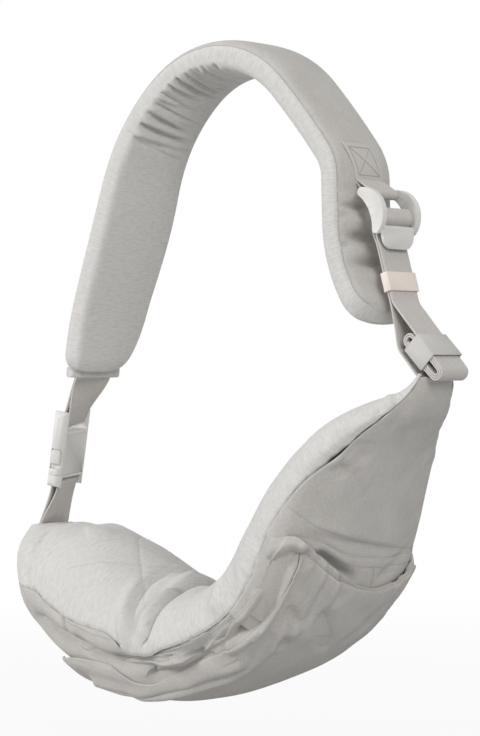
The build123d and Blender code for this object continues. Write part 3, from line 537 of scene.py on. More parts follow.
class SlingFinishes(bpy.types.Operator):
    """Make the cloth, webbing, plastic and leather finishes"""

    bl_idname = "sling.finishes"
    bl_label = "Finishes"

    def execute(self, context):
        for make in (make_melange, make_weave, make_ribs, make_grain):
            make()
        tones = context.scene.sling_colours
        jersey, woven, webbing, plastic, keeper = tones.jersey, tones.woven, tones.webbing, tones.plastic, tones.keeper
        make_finish("Jersey", "Melange yarn", (jersey, tones.jersey_fleck), 0.55, 0.92, 0.0003, sheen=0.15)
        make_finish("Woven", "Plain weave", (woven, shaded(woven, 0.72)), 420.0, 0.85, 0.0004, sheen=0.1)
        make_finish("Webbing", "Ribbed webbing", (webbing, shaded(webbing, 0.72)), 95.0, 0.8, 0.0004)
        make_finish("Elastic", "Ribbed webbing", (shaded(jersey, 0.95), shaded(jersey, 0.78)), 140.0, 0.85, 0.0004)
        # The thread is painted darker than the woven cloth: painted shade that stands in for the shadows in the stitch
        # holes and along the seams.
        make_finish("Thread", "Plain weave", (shaded(woven, 0.74), shaded(woven, 0.62)), 900.0, 0.7, 0.0001)
        make_finish("Plastic", "Fine grain", (plastic, shaded(plastic, 1.06)), 900.0, 0.5, 0.00003, from_uv=False)
        make_finish("Leather", "Fine grain", (keeper, shaded(keeper, 1.05)), 700.0, 0.6, 0.0001, from_uv=False)
        return {"FINISHED"}


# ---------------------------------------------------------------- pad
def bend_rows(bends, angle):
    """Rows of x, z, heading and length along a chain of bends from the pad's top."""
    x, z, run = 0.0, PAD_DEPTH, 0.0
    rows = [(x, z, angle, run)]
    for reach, turn in bends:
        count = round(reach / 1.5)
        for _ in range(count):
            middle = radians(angle + turn / count / 2)
            x += reach / count * cos(middle)
            z += reach / count * sin(middle)
            angle += turn / count
            run += reach / count
            rows.append((x, z, angle, run))
    return np.array(rows)


# Rows along the whole pad, from the buckle's end to the free end, with length 0 at its top.
PAD = np.vstack((bend_rows(PAD_LEFT, 180)[::-1] * (1, 1, 1, -1) - (0, 0, 180, 0), bend_rows(PAD_RIGHT, 0)[1:]))
# Its section in mm: the outer seam's inset, the swell of its walls and the bend round to its inner face.
PAD_SEAM_INSET, PAD_WALL_SWELL, PAD_BEND = 2.2, 0.8, 9.0
# Half widths at lengths along it, in mm.
PAD_WIDTHS = ((PAD[0, 3], 43.5), (-150, 43.5), (60, 40), (150, 38.5), (PAD[-1, 3], 38.5))
# Corners at the buckle's end, near and far: length in mm and share of it across. Then the tip's length and inset.
PAD_CORNERS = ((16.0, 0.8), (62.0, 0.58))
PAD_TIP, PAD_TIP_INSET = 26.0, 24
# Both ends thin out over this length in mm.
PAD_THINNING = 14
GATHERS = 46


def on_pad(run, rise=0.0):
    """x and z in mm at places along the pad, raised from its centre line, and the heading there in radians."""
    x, z, heading = read(run, PAD[:, 3], PAD[:, :3])
    heading = np.radians(heading)
    return x - np.sin(heading) * rise, z + np.cos(heading) * rise, heading


def pad_ring(half, depth, crown):
    """Cross-section of the pad in mm, across and outwards: the lining from seam to seam, and the shell."""
    seam, bend = 0.7 * depth, min(PAD_BEND, 0.75 * depth)
    side = np.linspace(1, 0, 12)
    wall = [(half - PAD_SEAM_INSET * t**9 + PAD_WALL_SWELL * (1 - (2 * t - 1) ** 2),
             -depth + bend + (seam + depth - bend) * t) for t in side]
    arc = np.radians(np.linspace(0, 90, 10))[1:]
    wall += [(half - bend + bend * cos(a), -depth + bend - bend * sin(a)) for a in arc]
    face = np.linspace(1, -1, 46)[1:-1]
    inner = [(t * (half - bend), -depth - crown * (1 - t * t)) for t in face]
    lining = wall + inner + [(-y, v) for y, v in wall[::-1]]
    t = np.linspace(-1, 1, 46)
    shell = np.stack((t * (half - PAD_SEAM_INSET), seam + (depth + crown - seam) * (1 - np.abs(t) ** 4) ** 0.6), 1)
    return np.array(lining), shell


def pad_gathers(run, across):
    """Depth in mm of the gathers and creases of the lining where the pad bends."""
    chance = np.random.default_rng(11)
    total = np.zeros(across.shape)
    for _ in range(GATHERS):
        middle, slant = chance.uniform(-130, 8), -chance.uniform(4, 13)
        depth, width, reach = chance.uniform(0.6, 2.4), chance.uniform(1.4, 2.8), chance.uniform(0.5, 1.6)
        away = run - middle - slant * (across + 1)
        fade = smooth(-1.02, -0.86, across) * smooth(0, 0.5, reach - 1 - across + 0.4)
        total -= depth * (bell(away, width) - 0.6 * bell(away - 2 * width, 1.4 * width)) * fade
    for middle, slant, depth, width in PAD_CREASES:
        away = run - middle - slant * (across + 1)
        fade = smooth(-1.02, -0.9, across) * smooth(0, 1.3, 0.7 - across)
        total -= depth * np.exp(-np.abs(away) / width) * fade
    return total


def pad_dents(run, across):
    """Depth in mm of the dents in the shell."""
    return -sum(depth * bell(run - middle, long) * bell(across - place, wide)
                for middle, place, depth, long, wide in PAD_DENTS)


def short_of(share):
    """How far a quarter circle falls short of its radius at a share of it."""
    return 1 - np.sqrt(1 - np.clip(1 - share, 0, 1) ** 2)


def pad_surfaces(sizes):
    """Grids of the pad's lining and shell in mm."""
    first, last = PAD[0, 3], PAD[-1, 3]
    ends = PAD_TIP * (1 - np.cos(np.linspace(0, pi / 2, 16)))
    middle = np.linspace(first + PAD_TIP, last - PAD_TIP, 420)[1:-1]
    run = np.concatenate((first + ends, middle, (last - ends)[::-1]))
    x, z, heading = on_pad(run)
    out = np.stack((-np.sin(heading), np.zeros(len(run)), np.cos(heading)), 1)
    width = np.interp(run, *zip(*PAD_WIDTHS))
    near, far = (
        width - corner * short_of((run - first) / corner) * share - PAD_TIP_INSET * short_of((last - run) / PAD_TIP)
        for corner, share in PAD_CORNERS
    )
    # The far side is fuller near the buckle.
    far += 7 * bell(run + 225, 70)
    half, middle = (near + far) / 2, (far - near) / 2
    thin = sizes.pad_depth / MM * (1 - 0.35 * np.clip(1 - (run - first) / PAD_THINNING, 0, 1) ** 2)
    thin *= 1 - 0.55 * np.clip(1 - (last - run) / PAD_THINNING, 0, 1) ** 2
    grids = []
    for face, outwards, relief in ((0, -1, pad_gathers), (1, 1, pad_dents)):
        rows = []
        for i, place in enumerate(run):
            ring = pad_ring(half[i], thin[i], sizes.pad_crown / MM * thin[i] / PAD_DEPTH)[face]
            inner = np.clip(outwards * ring[:, 1] / thin[i], 0, 1)
            depth = ring[:, 1] + outwards * relief(place, ring[:, 0] / half[i]) * inner
            rows.append(np.array((x[i], middle[i], z[i])) + ring[:, :1] * (0, 1, 0) + depth[:, None] * out[i])
        grids.append(np.array(rows))
    return grids


class SlingPad(bpy.types.Operator):
    """Make the arched shoulder pad with its lining, its shell and the seams between them"""

    bl_idname = "sling.pad"
    bl_label = "Shoulder pad"

    def execute(self, context):
        lining, shell = pad_surfaces(context.scene.sling_sizes)
        add_cover("pad_lining_cover", lining, "Jersey", 0.8, "pad_lining", "pad_foam", caps=True)
        add_cover("pad_shell_cover", shell, "Woven", 0.8, "pad_shell", caps=True)
        for name, column in (("pad_seam_near", 0), ("pad_seam_far", -1)):
            dress(add_cord(name, shell[8:-8, column] * MM, 0.0005), "Thread", "sling", "woven")
        return {"FINISHED"}


# ---------------------------------------------------------------- pouch
POUCH_LINE = curve_through(POUCH_STATIONS, 400)
POUCH_RUN = 620.0  # mm along the pouch for its whole share
SEAM_REACH = 0.006  # shares over which the seam and the pocket's top are softened
BOTTOM = 270  # degrees round the pouch
LUMP_SIZE = 80  # mm


def on_pouch(share, turn):
    """Points of the pouch's plain surface in mm, at shares of the way along and degrees round it."""
    share, turn = np.broadcast_arrays(np.asarray(share, float), np.asarray(turn, float))
    x, z, heading, half, rise, drop = read(share, np.linspace(0, 1, len(POUCH_LINE)), POUCH_LINE)
    heading, turn = np.radians(heading), np.radians(turn)
    up = np.where(np.sin(turn) > 0, rise, drop) * np.sin(turn)
    return np.stack((x - np.sin(heading) * up, half * np.cos(turn), z + np.cos(heading) * up), -1)


def path_on_pouch(line):
    """Dense points in mm of a line of (share, turn) made smooth."""
    return on_pouch(*curve_through(line, 6 * len(line)).T)


def soften(table, values, reach):
    """A table's second column at values of its first, averaged over a reach to each side."""
    table = np.array(table, float)
    return sum(np.interp(values + step, *table.T) for step in np.linspace(-reach, reach, 5)) / 5


def mirrored(table, values, reach):
    """A table over degrees round the pouch; one that ends short of the far side is read there as on the near side."""
    if table[-1][0] < 300:
        values = np.where(values > BOTTOM, 2 * BOTTOM - values, values)
    return soften(table, values, reach)


def nearest_on(points, line):
    """Distance from each point to a line of points, and how far along it the nearest place lies."""
    best, share = np.full(len(points), 1e9), np.zeros(len(points))
    for k, (start, end) in enumerate(zip(line, line[1:])):
        way = end - start
        t = np.clip((points - start) @ way / max(way @ way, 1e-9), 0, 1)
        apart = np.linalg.norm(points - start - t[:, None] * way, axis=1)
        near = apart < best
        best[near], share[near] = apart[near], (k + t[near]) / (len(line) - 1)
    return best, share


def far_strength(line):
    """How much of a fold shows on the far side: none if it runs over the bottom, most if it starts on the lining."""
    turns = [turn for _, turn in line]
    return 0.0 if max(turns) > 272 else 0.8 if min(turns) < 180 else 0.3


def pouch_lift(plain, folds):
    """Height in mm that folds and creases give to points of the pouch, on both sides."""
    flat = plain.reshape(-1, 3)
    lift = np.zeros(len(flat))
    for height, width, line in folds:
        for side, strength in ((1, 1.0), (-1, far_strength(line))):
            there = path_on_pouch(line) * (1, side, 1)
            reach = width * (5 if height < 0 else 3)
            inside = np.all((flat > there.min(0) - reach) & (flat < there.max(0) + reach), axis=1)
            if not inside.any():
                continue
            apart, share = nearest_on(flat[inside], there)
            ends = smooth(0, 0.3, share) * smooth(0, 0.3, 1 - share)
            if height < 0 and width < 5:  # a sharp crease
                shape = 0.7 * np.exp(-apart / width) + 0.3 * bell(apart, 2 * width)
            else:
                shape = bell(apart, width)
            lift[inside] += height * strength * ends * shape
    return lift.reshape(plain.shape[:-1])


def lumps(points, size, seed):
    """Soft lumps from -1 to 1 over points in mm, about as wide as size."""
    chance = np.random.default_rng(seed)
    total = np.zeros(points.shape[:-1])
    for _ in range(12):
        way = unit(chance.normal(size=3)) * chance.uniform(0.6, 1.7) * 2 * pi / size
        total += np.sin(points @ way + chance.uniform(0, 2 * pi))
    return np.clip(total / 4.5, -1, 1)


def normals(surface):
    """Unit normals of a grid."""
    return unit(np.cross(np.gradient(surface, axis=0), np.gradient(surface, axis=1)))


def outward(surface):
    """Unit normals of a grid round the pouch, away from its middle."""
    out = normals(surface)
    return out if (out * (surface - surface.mean(axis=1, keepdims=True))).sum() >= 0 else -out


def overhang(plain):
    """How far the padded ridge leans over the deep crease, as moves in mm for points of the pouch."""
    flat = plain.reshape(-1, 3)
    moves = np.zeros(flat.shape)
    for side, strength in ((1, 1.0), (-1, 0.7)):
        there = path_on_pouch(DEEP_CREASE) * (1, side, 1)
        apart, share = nearest_on(flat, there)
        toward = np.stack(read(share * (len(there) - 1), np.arange(len(there)), there), 1) - flat
        ridge = np.clip(toward[:, 0] / np.maximum(apart, 1e-6) * 1.6, 0, 1)
        ends = smooth(0, 0.25, share) * smooth(0, 0.2, 1 - share)
        near = bell(np.maximum(apart - 2, 0), OVERHANG_WIDTH) * smooth(0, 2.5, apart)
        moves += unit(toward) * (OVERHANG * strength * ends * ridge * near)[:, None]
    return moves.reshape(plain.shape)


def pouch_cover(share, turn, folds, raise_by=0.0):
    """Grid in mm of a cloth over the pouch with its folds, its normals, and the same grid without folds."""
    plain = on_pouch(share, turn)
    out = outward(plain)
    lift = pouch_lift(plain, folds) + raise_by + lumps(plain, LUMP_SIZE, 5)
    lean = overhang(plain) if folds is LINING_FOLDS else 0.0
    return plain + lean + out * lift[..., None], out, plain


def shares(rows, columns, start=0.0):
    """Shares down the rows of a grid, from start to 1, and across its columns."""
    return np.linspace(start, 1, rows)[:, None], np.linspace(0, 1, columns)[None]


def to_rim(w, wide=200):
    """Distance in mm from the nearer side of a cloth, at shares across it."""
    return np.minimum(w, 1 - w) * wide


def underneath(near, w):
    """Degrees round the pouch from near, over the bottom, to the same place on the far side."""
    return near + (2 * BOTTOM - 2 * near) * w


def up_to_lip(row, w, turn, start, lip, reach, edge, rounds):
    """Shares and degrees of a cloth from a start to its lip between its edges, and its distance to the lip in mm."""
    # The shares follow from the degrees and the degrees from the shares, so a few rounds settle both.
    for _ in range(rounds):
        go = start + (mirrored(lip, turn, reach) - start) * row
        turn = underneath(soften(edge, go, SEAM_REACH), w)
    return go, turn, (mirrored(lip, turn, reach) - go) * POUCH_RUN


def tuck_in(surface, start=True, end=True):
    """The same grid with its end rows turned in round the strap."""

    def turned_in(ring, inner):
        out, middle = unit((ring - inner).mean(0)), ring.mean(0) * (1, 0, 1)
        return [middle + (ring - middle) * (1 - 0.45 * t) + out * (2.2 * sin(pi * t) - 3.5 * t)
                for t in (0.25, 0.5, 0.75, 1.0)]

    before = turned_in(surface[0], surface[1])[::-1] if start else []
    after = turned_in(surface[-1], surface[-2]) if end else []
    return np.array([*before, *surface, *after])


def hem(surface, depth, out=None):
    """The same grid with its last row rolled under, as a folded edge, by a depth in mm."""
    if out is None:
        out = normals(surface)
        if (out[-1] * (surface[-1] - surface.mean(axis=(0, 1)) * (1, 0, 1))).sum() < 0:
            out = -out
    tip, on = surface[-1], unit(surface[-1] - surface[-3])
    roll = [tip + (on * sin(t) - out[-1] * (1 - cos(t))) * depth / 2 for t in np.linspace(0, pi, 7)[1:]]
    return np.concatenate((surface, roll))


def hem_sides(surface, depth):
    """The same grid with its first and last columns rolled under."""
    across = np.swapaxes(surface, 0, 1)
    return np.swapaxes(hem(hem(across, depth)[::-1], depth)[::-1], 0, 1)


# One stitch: its length in mm, the step in mm along its line, and the faces of its four rings of five points.
STITCH_LONG, STITCH_STEP = 2.2, 0.5
STITCH_FACES = [*grid_faces(4, 5, True), np.arange(4, -1, -1), np.arange(15, 20)]


def sew(name, surface, plain, lines, pitch=3.4, thick=0.32, lift=0.15, both_sides=True):
    """Rows of small stitches on a grid, along lines of (share, turn); plain is the grid without its folds."""
    flat, skin, out = (grid.reshape(-1, 3) for grid in (plain, surface, outward(surface)))
    half = int(STITCH_LONG / 2 / STITCH_STEP)
    ring = np.linspace(0, 2 * pi, 6)[:-1, None]
    points, faces = [], []
    for line in lines:
        for side in (1, -1) if both_sides else (1,):
            there = respace(path_on_pouch(line) * (1, side, 1), 1.0)
            found = [((flat - point) ** 2).sum(1).argmin() for point in there]
            padded = np.pad(skin[found], ((2, 2), (0, 0)), "edge")
            near = np.stack([np.convolve(column, np.ones(5) / 5, "valid") for column in padded.T], 1)
            near = respace(near, STITCH_STEP)
            at = np.linspace(0, len(found) - 1, len(near))
            normal = unit(np.stack(read(at, np.arange(len(found)), out[found]), 1))
            for k in range(half, len(near) - half, int(pitch / STITCH_STEP)):
                way, up = unit(near[k + half] - near[k - half]), normal[k]
                across = np.cross(way, up)
                faces += [face + len(points) for face in STITCH_FACES]
                for t, size in ((-1, 0.35), (-0.6, 1), (0.6, 1), (1, 0.35)):
                    rim = (across * np.cos(ring) + up * np.sin(ring)) * thick * size
                    points += list(near[k] + up * lift + way * STITCH_LONG / 2 * t + rim)
    return dress(add_mesh(name, np.array(points) * MM, faces), "Thread", "sling", "woven")


def make_lining():
    """The lined side of the pouch with its quilting."""
    share, w = shares(460, 230)
    near = soften(SEAM, share, SEAM_REACH)
    lining, out, plain = pouch_cover(share, (180 - near) + (2 * near - 180) * w, LINING_FOLDS)
    rim = to_rim(w, 230)
    ripple = lumps(np.stack(np.broadcast_arrays(share * POUCH_RUN, w * 40, 0.0), -1), 12, 8)
    lining += out * (0.9 * np.exp(-rim / 12) * ripple - 1.5 * bell(rim, 2.5))[..., None]
    add_cover("pouch_lining_cover", tuck_in(lining), "Jersey", 0.7, "pouch_lining", "pouch_padding")
    sew("quilt_stitches", lining, plain, QUILTING, pitch=3.0, thick=0.22, lift=0.0)


def make_upper_panel():
    """The woven cloth behind and above the pocket, up to the lock's end."""
    share, w = shares(210, 230, 0.6)
    panel, out, plain = pouch_cover(share, underneath(soften(SEAM, share, SEAM_REACH), w), UPPER_FOLDS)
    room_for_elastic = 2.5 * smooth(0.94, 0.985, share)
    panel -= out * (bell(to_rim(w), 2.0) + room_for_elastic)[..., None]
    add_cover("pouch_shell_cover", tuck_in(panel, start=False), "Woven", 0.7, "pouch_shell", "pouch_sleeve_lock")
    sew("panel_stitches", panel, plain, (TOP_STITCH,), thick=0.45, both_sides=False)


def make_outer_strip():
    """The woven strip beside the pocket, from the buckle's end to its rolled lip."""
    row, w = shares(400, 230)
    go, turn, gap = up_to_lip(row, w, 178 + 184 * w + 0 * row, 0, STRIP_LIP, 3, SEAM, 2)
    rim = to_rim(w)
    swell = (4.5 * bell(gap, 24) + 0.3) * smooth(0, 14, rim)
    strip, out, plain = pouch_cover(go, turn, STRIP_FOLDS + PANEL_FOLDS, swell)
    strip -= out * bell(rim, 2.0)[..., None]
    add_cover("pouch_outer_strip", tuck_in(hem(strip, 4.0, out), end=False), "Woven", 0.5, "pouch_sleeve_buckle")
    sew("strip_stitches", strip, plain, STRIP_STITCHES, thick=0.42)


def make_pocket_back():
    """The cloth layer that shows in the pocket's mouth."""
    row, w = shares(90, 180)
    start, turn = 0.62, 196 + 148 * w + 0 * row
    back, out, plain = pouch_cover(start + (soften(BACK_TOP, turn, 3) - start) * row, turn, UPPER_FOLDS, 1.0)
    add_cover("pocket_back_layer", hem(back, 1.6, out), "Woven", 0.2)
    below = tuple((share - 0.006, turn) for share, turn in BACK_TOP_LINE)
    sew("back_stitches", back, plain, (below, *BACK_SEAMS), both_sides=False)


def make_pocket_panel():
    """The large outer pocket, fuller at both ends, with a ridge beside its mouth."""
    row, w = shares(330, 220)
    go, turn, gap = up_to_lip(row, w, 212 + 116 * w + 0 * row, 0.228, PANEL_LIP, 2, POCKET_TOP, 3)
    ridge = 3.0 * bell(gap, 9) * bell(turn - 252, 22)
    swell = 4.5 * bell(gap, 24) + 3.0 + 5.0 * bell(go - 0.24, 0.035) + ridge
    pocket, out, _ = pouch_cover(go, turn, STRIP_FOLDS + PANEL_FOLDS, swell)
    rolled = hem(hem(pocket, 5.0, out)[::-1], 3.0)[::-1]
    add_cover("pouch_pocket_panel", hem_sides(rolled, 2.0), "Woven", 0.4, "pouch_pocket", "pocket_hem")


class SlingPouch(bpy.types.Operator):
    """Make the stuffed crescent pouch with its lining, shell, pocket and stitching"""

    bl_idname = "sling.pouch"
    bl_label = "Seat pouch"

    def execute(self, context):
        for make in (make_lining, make_upper_panel, make_outer_strip, make_pocket_back, make_pocket_panel):
            make()
        return {"FINISHED"}


# ---------------------------------------------------------------- straps
def strap_grid(centre, across):
    """Grid in metres of a flat strap round a line of centre points, with its width along across, in mm."""
    across = unit(np.broadcast_to(across, centre.shape))
    face = unit(np.cross(unit(np.gradient(centre, axis=0)), across))
    edge, half_thick = 0.8, WEB_THICK / 2
    flat = [(y, half_thick) for y in np.linspace(-1, 1, 25) * (WEB_HALF - edge)]
    y, v = WEB_HALF - edge * 0.3, half_thick * 0.7
    half_ring = np.array([*flat, (y, v), (WEB_HALF, 0), (y, -v)])
    ring = np.vstack((half_ring, -half_ring))
    return (centre[:, None] + across[:, None] * ring[:, :1] + face[:, None] * ring[:, 1:]) * MM


def add_strap(name, centre, across=(0.0, 1.0, 0.0)):
    """A strap along a line of centre points in mm, as wide as its webbing."""
    return add_grid(name, strap_grid(centre, across), wrap=True, caps=True)


def in_plane(line):
    """Points in space of a line of x, z points on the plane of the loop."""
    return np.insert(line, 1, 0.0, axis=1)


def near_top(node, down):
    """x, z in mm of a place below the middle of a node's top."""
    low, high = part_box(node)
    return np.array(((low.x + high.x) / 2 / MM, high.z / MM - down))


def route(points, radii):
    """Dense points of a run with soft corners, in mm, on the plane of the loop."""
    points = [np.array(point, float) for point in points]
    line = [points[0]]
    for before, corner, after, radius in zip(points, points[1:], points[2:], radii):
        back, on = unit(before - corner), unit(after - corner)
        reach = min(
            radius / max(tan(np.arccos(np.clip(back @ on, -1, 1)) / 2), 1e-6),
            np.linalg.norm(before - corner) * 0.49, np.linalg.norm(after - corner) * 0.49,
        )
        start, end = corner + back * reach, corner + on * reach
        t = np.linspace(0, 1, 12)[:, None]
        line += list((1 - t) ** 2 * start + 2 * t * (1 - t) * corner + t**2 * end)
    return respace(np.array([*line, points[-1]]), 1.5)


def strap_loop(anchor, bar, yaw, start_yaw=0.0):
    """Centre line and width direction, in mm, of a strap from an anchor round a bar and back, turned on the way."""
    way = unit(bar - anchor)
    length, lead, ring = np.linalg.norm(bar - anchor), 5.0, BAR_RADIUS + WEB_THICK / 2 + 0.2
    t = np.linspace(0, 1, 24)
    spread = WEB_THICK / 2 + 0.05 + (ring - WEB_THICK / 2) * smooth(0.25, 1.0, t) ** 1.2
    out_way = np.stack((t * (length + lead) - lead, spread), 1)
    arc = np.linspace(pi / 2, -pi / 2, 14)[1:-1]
    around = np.stack((length + ring * np.cos(arc), ring * np.sin(arc)), 1)
    line = respace(np.vstack((out_way, around, (out_way * (1, -1))[::-1])), 1.2)
    turn = radians(start_yaw) + radians(yaw - start_yaw) * smooth(0.05 * length, 0.9 * length, line[:, 0])
    c, s = np.cos(turn)[:, None], np.sin(turn)[:, None]
    along, flat, side = np.array(((way[0], 0, way[1]), (way[1], 0, -way[0]), (0, 1, 0)))
    start = np.array((anchor[0], 0, anchor[1]))
    return start + along * line[:, :1] + (flat * c + side * s) * line[:, 1:], side * c - flat * s


def make_end_band():
    """The sewn band that closes the pad's end round the webbing."""
    low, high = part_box("pad_end_binding")
    middle = np.array(((low.x + high.x) / 2 - 0.002, -0.004, (low.z + high.z) / 2 + 0.002)) / MM
    tilt = radians(PAD[0, 2])
    along, thick = np.array((cos(tilt), 0, sin(tilt))), np.array((-sin(tilt), 0, cos(tilt)))
    angle = np.linspace(0, 2 * pi, 97)[:-1]
    c, s = np.cos(angle), np.sin(angle)
    half_wide, half_long, half_thick = 31.5, 5.2, 5.2
    rows = []
    for t in np.linspace(-1, 1, 15):
        full = (1 - t**4) ** 0.35
        y = np.sign(c) * np.abs(c) ** 0.35 * (half_wide + 0.8 * full)
        puckers = 0.5 * np.sin(y * 0.55 + 1.2 * t)
        x = np.sign(s) * np.abs(s) ** 0.6 * (half_thick + 2.6 * full) + puckers
        rows.append(middle + along * t * half_long + np.outer(y, (0, 1, 0)) + np.outer(x, thick))
    band = add_grid("pad_end_band", np.array(rows) * MM, wrap=True, caps=True)
    dress(band, "Jersey", "sling", "jersey", "pad_end_binding")


def make_buckle_straps():
    """The webbing from the pad round the socket's bar, and from the pouch round the plug's bar."""
    socket_bar, plug_bar = placed(BUCKLE, 0, SOCKET_BAR), placed(BUCKLE, 0, PLUG_BAR)
    top = near_top("pad_end_binding", 5) - (5, 0)
    upper = add_strap("buckle_strap_upper", *strap_loop(top, socket_bar, -18, 12))
    dress(upper, "Webbing", "sling", "webbing", "buckle_webbing_upper")
    foot = near_top("pouch_sleeve_buckle", 6)
    lower = add_strap("buckle_strap_lower", *strap_loop(foot, plug_bar, 18))
    dress(lower, "Webbing", None, "webbing", "buckle_webbing_lower")
    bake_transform(lower)


PATCH = (169.0, 196.0, 2.0)  # from, to and step in mm along the pad


def make_lock_patch():
    """The doubled webbing down the pad and round the lock's bar, and the crossed box of stitches on it."""
    run = np.arange(*PATCH)
    outer, inner = (np.stack(on_pad(run, PAD_DEPTH + WEB_THICK * layer)[:2], 1) for layer in (1.5, 0.5))
    bar = np.array(LOCK[:2])
    way = unit(bar - inner[-1])
    side = np.array((-way[1], way[0]))
    arc = np.linspace(pi / 2, -pi / 2, 12)[:, None]
    around = bar + 3.6 * (side * np.sin(arc) + way * np.cos(arc))
    anchor = add_strap("lock_anchor", in_plane(respace(np.vstack((outer, around, inner[::-1])), 1.2)))
    for vertex in anchor.data.vertices:  # the patch sits a little towards the near side
        vertex.co.y -= 0.009 * smooth(-0.112, -0.066, vertex.co.z)
    dress(anchor, "Webbing", "sling", "webbing", "anchor_webbing")
    corners = np.array(((172.5, -15), (172.5, 14), (191, 14), (191, -15)))
    path = respace(corners[[0, 1, 2, 3, 0, 2, 1, 3]], 0.8)
    x, z, _ = on_pad(path[:, 0], PAD_DEPTH + 2 * WEB_THICK + 0.1)
    line = np.stack((x, path[:, 1] - 9 * smooth(-112, -66, z), z), 1)
    dress(add_cord("patch_stitches", line * MM, 0.0004), "Thread", "sling", "webbing")


TAIL_TURNS, TAIL_PITCH = 2.6, 1.95  # turns of the roll, and mm from one to the next


def make_adjuster():
    """The adjuster strap: from its sleeve up to the lock, round the lock's centre bar, down and into its roll."""
    wrap = np.array(((-9.1, -33), (2.6, -24.3), (2.6, -18.4), (9.4, -18.4), (9.4, -29.5), (-6.9, -36)))
    points = [
        near_top("pouch_sleeve_lock", 4), (199, -256), (196, -238), (190.9, -216.3), (176.5, -166.5),
        *placed(LOCK, *wrap.T),
        (178.7, -165.9), (193.1, -215.7), placed(ROLL, 8.4, 19.5),
    ]
    radii = [16, 30, 40, 30, 6, 4, 3.2, 3.2, 4, 6, 30, 14, 8]
    # The rolled tail is a flattened spiral with straight sides, from outside in.
    turns = np.arange(0, TAIL_TURNS, 1 / 40)
    half_thin, half_straight = 7.5 - turns * TAIL_PITCH, 18.6
    c, s = np.cos(2 * pi * turns), np.sin(2 * pi * turns)
    spiral = placed(ROLL, c * half_thin, -s * half_thin - np.sign(s) * half_straight * smooth(0, 0.5, np.abs(s)))
    down = route([*points, spiral[0]], radii)
    adjuster = add_strap("adjuster_strap", in_plane(respace(np.vstack((down, spiral[1:])), 1.3)))
    dress(adjuster, "Webbing", None, "webbing", "adjuster_strap_bight", "adjuster_strap_load",
          "adjuster_strap_tail", "strap_roll")
    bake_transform(adjuster)


class SlingStraps(bpy.types.Operator):
    """Make the webbing: pad's end band, buckle straps, lock patch and adjuster strap with its roll"""

    bl_idname = "sling.straps"
    bl_label = "Straps"

    def execute(self, context):
        for make in (make_end_band, make_buckle_straps, make_lock_patch, make_adjuster):
            make()
        return {"FINISHED"}


# ---------------------------------------------------------------- hardware
def rounded_copy(node, name, radius):
    """A copy of a node's solid with merged faces and softly moulded edges."""
    bpy.ops.object.select_all(action="DESELECT")
    piece = bpy.data.objects.new(name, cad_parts[node].data.copy())
    bpy.context.collection.objects.link(piece)
    bpy.context.view_layer.objects.active = piece
    piece.select_set(True)
    bpy.ops.object.mode_set(mode="EDIT")
    bpy.ops.mesh.select_all(action="SELECT")
    bpy.ops.mesh.remove_doubles(threshold=0.00001)
    bpy.ops.mesh.dissolve_limited(angle_limit=radians(1.0))
    bpy.ops.object.mode_set(mode="OBJECT")
    soft = piece.modifiers.new("edges", "BEVEL")
    soft.width, soft.segments, soft.limit_method, soft.angle_limit = radius, 2, "ANGLE", radians(35)
    soft.harden_normals = True
    bpy.ops.object.modifier_apply(modifier="edges")
    piece.data.polygons.foreach_set("use_smooth", [True] * len(piece.data.polygons))
    bpy.ops.object.shade_smooth_by_angle(angle=radians(35))
    return piece


class SlingHardware(bpy.types.Operator):
    """Make the buckle, the ladder lock, the keeper and the elastic band"""

    bl_idname = "sling.hardware"
    bl_label = "Hardware"

    def execute(self, context):
        edge = context.scene.sling_sizes.bevel
        for node, body, finish, slot, radius in (
            ("buckle_socket", "sling", "Plastic", "plastic", edge),
            ("buckle_plug", "plug", "Plastic", "plastic", edge),
            ("buckle_prong_near", "prong_near", "Plastic", "plastic", edge * 0.8),
            ("buckle_prong_far", "prong_far", "Plastic", "plastic", edge * 0.8),
            ("ladder_lock", "ladder_lock", "Plastic", "plastic", edge),
            ("strap_keeper", "strap_keeper", "Leather", "keeper", edge),
            ("tail_elastic", "tail_elastic", "Elastic", "elastic", edge),
        ):
            dress(rounded_copy(node, f"{node}_moulded", radius), finish, body, slot, node)
        return {"FINISHED"}


# ---------------------------------------------------------------- stage
CENTRE = np.array((0.0, 0.0, -0.272))
CAMERA_AZIMUTH = radians(42)
CAMERA_DISTANCE = 2.0
# Lights: name, place from the sling's centre, size in metres and power in watts.
LIGHTS = (("key", (-1.5, -2.0, 0.9), 1.2, 41), ("fill", (2.2, -1.3, 1.2), 1.4, 30), ("top", (0.4, 0.2, 2.2), 1.4, 8))


def two_faced(tree, lit, shown, share=1.0):
    """The output of one shader for light on the sling, and of another for the camera and in gloss."""
    path = put(tree, "LightPath")
    seen = maths(tree, "MAXIMUM", path.outputs["Is Camera Ray"], path.outputs["Is Glossy Ray"])
    factor = maths(tree, "MULTIPLY", seen, share)
    return put(tree, "MixShader", (0, factor), (1, lit.outputs[0]), (2, shown.outputs[0])).outputs[0]


